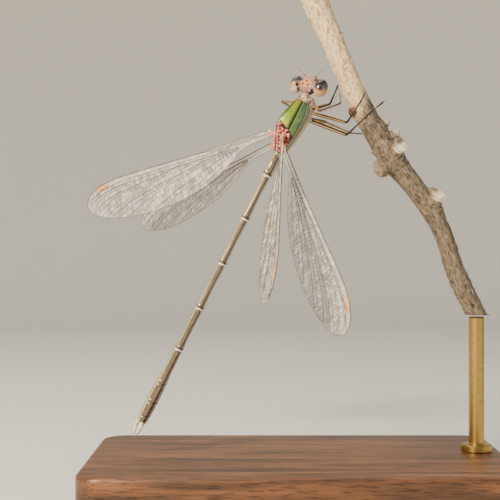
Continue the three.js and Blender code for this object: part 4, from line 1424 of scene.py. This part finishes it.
@dataclass(frozen=True)
class Knob:
    """A bud, leaf scar or cut stub on the twig, in the same terms as the solids."""

    place: float
    turn: float
    reach: float
    lean: float
    root: float
    end: float
    kind: KnobKind

    def profile(self, t: np.ndarray) -> np.ndarray:
        """The radius from the twig's middle line (0) to the knob's end (1)."""
        root, end = self.root, self.end
        if self.kind is KnobKind.STUB:
            return along(((0.25, root), (0.5, root * 0.98), (0.62, end), (0.66, end * 1.12),
                          (0.9, end * 1.1), (0.95, end * 0.98), (0.965, end * 0.72), (0.975, end * 0.55),
                          (1, end * 0.2)), t)
        if self.kind is KnobKind.SCAR:
            return along(((0.25, root), (0.55, root * 0.92), (0.66, root * 0.8), (0.74, end * 1.02),
                          (0.88, end * 1.06), (0.95, end * 0.88), (1, end * 0.35)), t)
        body = along(((0.25, root), (0.6, root * 0.95), (0.8, (root + end) * 0.42), (0.95, end * 0.6),
                      (1, 0.04)), t)
        return body + 0.06 * np.maximum(0, np.sin(t * 38)) ** 3 * (t > 0.5)

    def tints(self, share: float, reach: float, lit: float, rim: float) -> tuple[float, float]:
        """How pale and how rusty one spot of the knob is: bare wood, and painted highlights on the sides of
        buds and stubs.

        Args:
            share: how far out it is, 1 at the end.
            reach: its distance from the knob's axis.
            lit: 0 towards the twig's foot, 1 towards its top.
            rim: 1 on the side towards the photo's right, -1 on the other.
        """
        pale = self.kind.value if share > 0.7 else 0.0
        rust = 0.0
        if self.kind is KnobKind.SCAR and share > 0.6:
            pale = min(1.0, max(0.0, 1.9 - 2.6 * lit))
        elif self.kind is KnobKind.STUB:
            if 0.45 < share < 0.95:
                # Painted highlight: cream along the stub's left side, where the light falls
                pale = min(1.0, max(0.0, -1.6 * rim - 0.2))
            rust = 0.9 * (0.38 < reach / self.end < 0.62 and share > 0.9)
        elif self.kind is KnobKind.BUD and share > 0.5:
            # Painted highlight: white on the bud's right side
            pale = min(0.9, max(pale, 1.2 * rim - 0.1))
        elif self.kind is KnobKind.SCALES and share > 0.45:
            rust = 0.85
        return pale, rust


@dataclass
class Twig:
    """The cut twig with its bark, buds and scars, as one skin over both solids."""

    depth: float = 2.0
    line: Table = ((1.78, 56.65), (4.13, 51.25), (7.2, 44.21), (10.47, 38.34), (14.46, 33.06),
                   (16.69, 29.53), (18.83, 23.67), (21.03, 19.09), (21.6, 17.9))
    diameters: Table = ((0, 3.3), (0.12, 2.8), (0.3, 2.65), (0.45, 2.8), (0.56, 2.6), (0.72, 2.25),
                        (0.85, 2.35), (1, 2.45))
    foot: float = 19.0
    rings: int = 720
    sides: int = 84
    grain_radius: float = 1.35
    knobs: tuple[Knob, ...] = (
        Knob(0.337, 204, 1.85, 0.2, 0.78, 0.56, KnobKind.SCALES),
        Knob(0.408, 352, 2.3, 0.5, 0.65, 0.24, KnobKind.BUD),
        Knob(0.453, 350, 2.75, 0.7, 0.75, 0.22, KnobKind.BUD),
        Knob(0.479, 322, 2.4, 0.2, 1.1, 0.92, KnobKind.SCAR),
        Knob(0.452, 178, 1.9, 0.3, 0.5, 0.18, KnobKind.BUD),
        Knob(0.503, 203, 2.6, 0.45, 0.95, 0.88, KnobKind.STUB),
        Knob(0.657, 338, 2.15, 1.0, 1.15, 1.1, KnobKind.SCAR),
        Knob(0.862, 180, 1.4, 0.2, 0.45, 0.25, KnobKind.BUD),
        Knob(0.888, 182, 1.4, 0.2, 0.5, 0.28, KnobKind.BUD),
    )

    def __post_init__(self) -> None:
        """Measures the middle line."""
        marks = np.concatenate([[0], np.cumsum(np.linalg.norm(np.diff(np.array(self.line), axis=0), axis=1))])
        self.long = float(marks[-1])
        self.x_line, self.z_line = ([(m / self.long, c[i]) for m, c in zip(marks, self.line)] for i in (0, 1))

    def point(self, place: float) -> np.ndarray:
        """The middle point at one place, 0 at the top and 1 at the foot."""
        return np.array((along(self.x_line, place), self.depth, along(self.z_line, place)))

    def frame_at(self, place: float) -> tuple[np.ndarray, np.ndarray, np.ndarray]:
        """The middle point, the way along and the way to the upper right at one place."""
        tangent = unit(self.point(min(1, place + 0.004)) - self.point(max(0, place - 0.004)))
        return self.point(place), tangent, unit(np.cross(tangent, (0, 1, 0)))

    def relief(self, place: np.ndarray, angle: np.ndarray) -> np.ndarray:
        """How far the bark and the swellings under the knobs stand out at each spot."""
        run = place * self.long
        total = np.empty(len(run))
        spots = zip(np.cos(angle) * self.grain_radius, np.sin(angle) * self.grain_radius, run)
        for i, (u, v, w) in enumerate(spots):
            ridge = noise.noise(Vector((u * 2.4, v * 2.4, w * 0.3)))
            flake = noise.noise(Vector((u * 2.2 + 7, v * 2.2, w * 1.1)))
            grit = noise.fractal(Vector((u * 4, v * 4, w * 2.2)), 1.0, 2.2, 3)
            total[i] = 0.07 * ridge + 0.05 * max(-0.5, min(0.5, flake * 3)) + 0.045 * grit
        for knob in self.knobs:
            past = run - knob.place * self.long
            away = np.abs((angle - math.radians(knob.turn) + math.pi) % (2 * math.pi) - math.pi)
            total += 0.34 * knob.root * np.exp(-(past / (knob.root * 1.3)) ** 2 - (away / 0.75) ** 2)
            total += 0.05 * np.exp(-((past - 0.9) / 0.13) ** 2)
        return total

    def make_knob(self, draft: Draft, knob: Knob) -> np.ndarray:
        """Adds one knob with its scales, rings or cut face.

        Args:
            draft: takes the knob's mesh.
            knob: what to add.

        Returns:
            For each new vertex its grain vector, share of old bark, paleness with its painted highlights, and
            rust.
        """
        here, tangent, side = self.frame_at(knob.place)
        turn = math.radians(knob.turn)
        out = side * math.cos(turn) + np.array((0.0, 1.0, 0.0)) * math.sin(turn)
        stem = out * knob.reach - tangent * knob.lean
        long, way = float(np.linalg.norm(stem)), unit(stem)
        t = np.concatenate([np.linspace(0.25, 0.94, 40), np.linspace(0.945, 1, 12)])
        start = len(draft.verts)
        draft.add_tube(here + np.outer(t * long, way), knob.profile(t), 40, tangent)
        marks = []
        for i in range(start, len(draft.verts)):
            v = Vector(draft.verts[i])
            rough = 0.06 * noise.fractal(v * 3.0, 1.0, 2.2, 4) + 0.05 * noise.noise(v * 1.7)
            axis = np.array(v) - here
            share = float(axis.dot(way)) / long
            axis -= way * axis.dot(way)
            reach = float(np.linalg.norm(axis))
            if reach > 0.05:
                draft.verts[i] = tuple(np.array(v) + axis / reach * rough * 1.3)
            axis /= max(reach, 1e-6)
            marks.append((*(v * 1.5), 0.85, *knob.tints(
                share, reach, 0.5 - 0.5 * axis.dot(tangent), axis.dot(side))))
        return np.array(marks)

    def make(self, material: bpy.types.Material) -> bpy.types.Object:
        """Builds the twig."""
        places, angles = np.linspace(0, 1, self.rings), corners(self.sides)
        grid_place, grid_angle = (g.ravel() for g in np.meshgrid(places, angles, indexing="ij"))
        reach = along(self.diameters, grid_place) / 2 - 0.07 + self.relief(grid_place, grid_angle)
        reach *= np.minimum(1.0, 0.86 + grid_place * self.long / 0.25 * 0.14)
        rings = []
        for place, row in zip(places, reach.reshape(self.rings, -1)):
            here, _, side = self.frame_at(float(place))
            ring = here + np.outer(np.cos(angles) * row, side) + np.outer(np.sin(angles) * row, (0, 1, 0))
            ring[:, 2] = np.maximum(ring[:, 2], self.foot)
            rings.append(ring)
        draft = Draft()
        draft.add_rings(np.array(rings))
        age = np.clip((grid_place + 0.03 * np.cos(grid_angle) - 0.31) / 0.05, 0, 1) * 0.9
        # Painted shade: bark on the twig's right side, turned away from the light, is pushed towards the grey
        # of old bark
        age = np.clip(age + 0.25 * np.clip(np.cos(grid_angle - 0.3), 0, 1), 0, 1)
        none = np.zeros(len(age))
        skin = np.stack([np.cos(grid_angle) * self.grain_radius, np.sin(grid_angle) * self.grain_radius,
                         grid_place * self.long, age, none, none], axis=1)
        ends = [(0, 0, -0.5, 0.2, 0.7, 0), (0, 0, self.long, 1, 0, 0)]
        marks = np.vstack([skin, ends, *(self.make_knob(draft, knob) for knob in self.knobs)])
        values = {"grain": marks[:, :3], "age": marks[:, 3], "pale": marks[:, 4], "rust": marks[:, 5]}
        return draft.piece("twig_bark", MODEL, "bark", ["perch_upper", "perch_lower"], material, values)


@dataclass
class Stand:
    """Walnut base with a soft edge, and a brass rod with a collar."""

    long: float = 48.0
    deep: float = 26.0
    tall: float = 3.0
    corner: float = 3.0
    bevel: float = 0.5
    rod_at: tuple[float, float] = (21.1, 2.0)
    rod_thick: float = 1.8
    rod_top: float = 18.75

    def outline(self, inset: float, z: float) -> list[Point]:
        """The base's outline with round corners, drawn in by inset."""
        radius = self.corner - inset
        return [(sx * (self.long / 2 - self.corner) + math.cos(angle) * radius,
                 sy * (self.deep / 2 - self.corner) + math.sin(angle) * radius, z)
                for turn, (sx, sy) in enumerate(((1, 1), (-1, 1), (-1, -1), (1, -1)))
                for angle in np.linspace(0, math.pi / 2, 13) + turn * math.pi / 2]

    def make_base(self, material: bpy.types.Material) -> bpy.types.Object:
        """Builds the wooden base."""
        rings = [self.outline(0.25, 0.0), self.outline(0.0, 0.25)]
        for angle in np.linspace(0, math.pi / 2, 7):
            rings.append(self.outline(self.bevel * (1 - math.cos(angle)),
                                      self.tall - self.bevel * (1 - math.sin(angle))))
        count, last = len(rings[0]), len(rings) - 1
        faces: Faces = [tuple(reversed(range(count))), tuple(range(last * count, (last + 1) * count))]
        for i in range(last):
            faces += band(i * count, (i + 1) * count, count)
        draft = Draft()
        draft.add(np.vstack(rings), faces)
        return draft.piece("walnut_base", MODEL, "stand_wood", ["stand_base"], material, sharp=35)

    def make_rod(self, material: bpy.types.Material) -> bpy.types.Object:
        """Builds the brass rod with a small collar on the base and a chamfer below the twig."""
        x, y = self.rod_at
        foot, top = self.tall, self.rod_top
        profile = ((foot, 1.9), (foot + 0.1, 2.0), (foot + 0.7, 2.0), (foot + 0.85, 1.85), (foot + 0.9, 1.1),
                   (foot + 1.0, 1.0), (top - 0.12, 1.0), (top, 0.88))
        draft = Draft()
        draft.add_tube([(x, y, z) for z, _ in profile], [r * self.rod_thick / 2 for _, r in profile], 48,
                       (0, 1, 0))
        return draft.piece("brass_rod", MODEL, "stand_rod", ["stand_rod"], material, sharp=30)


@dataclass
class Studio:
    """Pale paper floor, soft lights and the photo's camera."""

    camera_at: Point = (-5.5, -122.0, 26.6)
    lens: float = 76.0
    flat: float = 260.0
    wall: float = 420.0
    look_at: Point = (0, 0, 30)
    # Name, place, size in millimetres, watts and colour: a warm key from the upper left, a cool
    # fill and a soft top light
    lamps: Sequence[tuple[str, Point, float, float, str]] = (
        ("key", (-165, -200, 175), 60, 1.7, "fff0d8"), ("fill", (220, -160, 90), 200, 0.12, "e2ecff"),
        ("top", (-40, 60, 300), 200, 0.35, "ffffff"))

    def make_floor(self) -> None:
        """Builds a flat round floor whose rim curves up."""
        sides, rows = 96, 24
        turns, bend = math.pi / 2 * np.arange(1, rows + 1) / rows, self.wall - self.flat
        curve = [(self.flat + bend * math.sin(a), bend * (1 - math.cos(a))) for a in turns]
        profile = [(self.flat, 0.0), *curve, (self.wall, self.wall)]
        verts = [(0.0, 0.0, 0.0)] + [(radius * math.cos(a), radius * math.sin(a), z)
                                     for radius, z in profile for a in corners(sides)]
        faces = fan(0, 1, sides)
        for a in range(1, 1 + (len(profile) - 1) * sides, sides):
            faces += band(a + sides, a, sides)
        draft = Draft()
        draft.add(verts, faces)
        floor = linked("floor", draft.mesh("floor"))
        floor.data.materials.append(StudioPaper().make())

    def make_lights(self) -> None:
        """Adds the square soft lights, which face the insect, and the room's own light."""
        for name, at, size, watts, colour in self.lamps:
            lamp = bpy.data.lights.new(name, "AREA")
            lamp.size = size * MM
            lamp.energy = watts
            lamp.color = linear(colour)[:3]
            thing = linked(name, lamp)
            thing.location = Vector(at) * MM
            way = Vector(self.look_at) - Vector(at)
            thing.rotation_euler = way.to_track_quat("-Z", "Y").to_euler()
        world = bpy.data.worlds.new("studio")
        world.use_nodes = True
        inputs = world.node_tree.nodes["Background"].inputs
        inputs["Color"].default_value = linear("f2f2f0")
        inputs["Strength"].default_value = 0.3
        bpy.context.scene.world = world

    def make_camera(self) -> None:
        """Sets the camera at the photo's viewing angle."""
        camera = bpy.data.cameras.new("camera")
        camera.sensor_width = 36.0
        camera.lens = self.lens
        camera.clip_start = 5 * MM
        camera.clip_end = 5.0
        thing = linked("camera", camera)
        thing.location = Vector(self.camera_at) * MM
        thing.rotation_euler = (math.radians(90), 0, 0)
        bpy.context.scene.camera = thing


# Hip, knee, ankle and claw
LEG_POINTS: dict[str, Sequence[Point]] = {
    "leg_fore_right": ((2.85, -0.5, -1.3), (2.3, -1.75, -1.35), (4.6, -1.1, -4.3), (5.8, 0.05, -4.45)),
    "leg_fore_left": ((2.85, 0.5, -1.3), (1.7, 2.89, 0.43), (1.74, 2.6, -2.41), (2.69, 2.5, -3.22)),
    "leg_mid_right": ((1.9, -0.7, -1.65), (2.72, -3.23, -4.63), (5.88, -2.4, -5.81), (7.04, -2.09, -6.06)),
    "leg_mid_left": ((1.9, 0.7, -1.65), (4.16, 0.64, -4.45), (6.59, 1.64, -5.13), (7.83, 2.71, -6.02)),
    "leg_hind_right": ((1.0, -0.75, -1.75), (1.46, -3.79, -4.96), (5.38, -3.67, -6.89), (7.18, -3.7, -7.91)),
    "leg_hind_left": ((1.0, 0.75, -1.75), (2.3, 1.71, -5.96), (2.47, -0.71, -8.28), (2.91, -1.86, -8.84)),
}

# Length, root, the way out along the wing and the way to its trailing edge
WINGS = (
    Wing(WingPair.FORE, Side.LEFT, 25.5, (-2.5, 1.25, 1.2), (-0.67, 0.708, 0.221), (-0.701, -0.507, -0.502)),
    Wing(WingPair.FORE, Side.RIGHT, 25.5, (-2.5, -1.25, 1.2), (-0.637, -0.709, 0.302),
         (-0.758, 0.505, -0.413)),
    Wing(WingPair.HIND, Side.LEFT, 24.5, (-3.65, 1.25, 0.14), (-0.602, 0.792, -0.1), (-0.797, -0.603, 0.018)),
    Wing(WingPair.HIND, Side.RIGHT, 24.5, (-3.65, -1.25, 0.14), (-0.601, -0.798, -0.054),
         (-0.778, 0.599, -0.191)),
)


def main() -> None:
    """Builds every sub-assembly in order."""
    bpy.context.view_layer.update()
    studio = Studio()
    studio.make_floor()
    studio.make_lights()
    studio.make_camera()
    BodySkin().make(MetallicCuticle().make(), [points[0] for points in LEG_POINTS.values()])
    Claspers().make(DullCuticle("cream_cuticle", "d8caa4", "f8f0dc", 0.4, 0.35).make())
    spikes = Bristles(DullCuticle("dark_bristle_cuticle", "1e140c", "3a281a", 0.5, 0.45).make())
    head = Head()
    head.make_skull(HeadCuticle().make())
    head.make_hair(Bristles(DullCuticle("pale_hair", "b8a890", "e4d8c4", 0.5, 0.5).make()))
    feeler = DullCuticle("dark_feeler_cuticle", "3a2e20", "75684c", 0.4, 0.5).make()
    for side in Side:
        head.make_eye(side)
        head.make_feeler(side, feeler)
    leg_finish = LegCuticle().make()
    for name, points in LEG_POINTS.items():
        leg = Leg(name, points)
        leg.make(leg_finish)
        leg.make_spines(spikes)
    membrane = WingMembrane().make()
    tubes = VeinTubes(DullCuticle("brown_vein_cuticle", "3b2a1c", "6b5238", 0.5, 0.4).make())
    stigma = DullCuticle("peach_stigma_cuticle", "b57a52", "e0a883", 0.5, 0.35).make()
    for wing in WINGS:
        wing.make_membrane(membrane)
        wing.make_veins(tubes)
        wing.make_stigma(stigma)
    Twig().make(Bark().make())
    stand = Stand()
    stand.make_base(OiledWalnut().make())
    stand.make_rod(BrushedBrass().make())


if __name__ == "__main__":
    main()
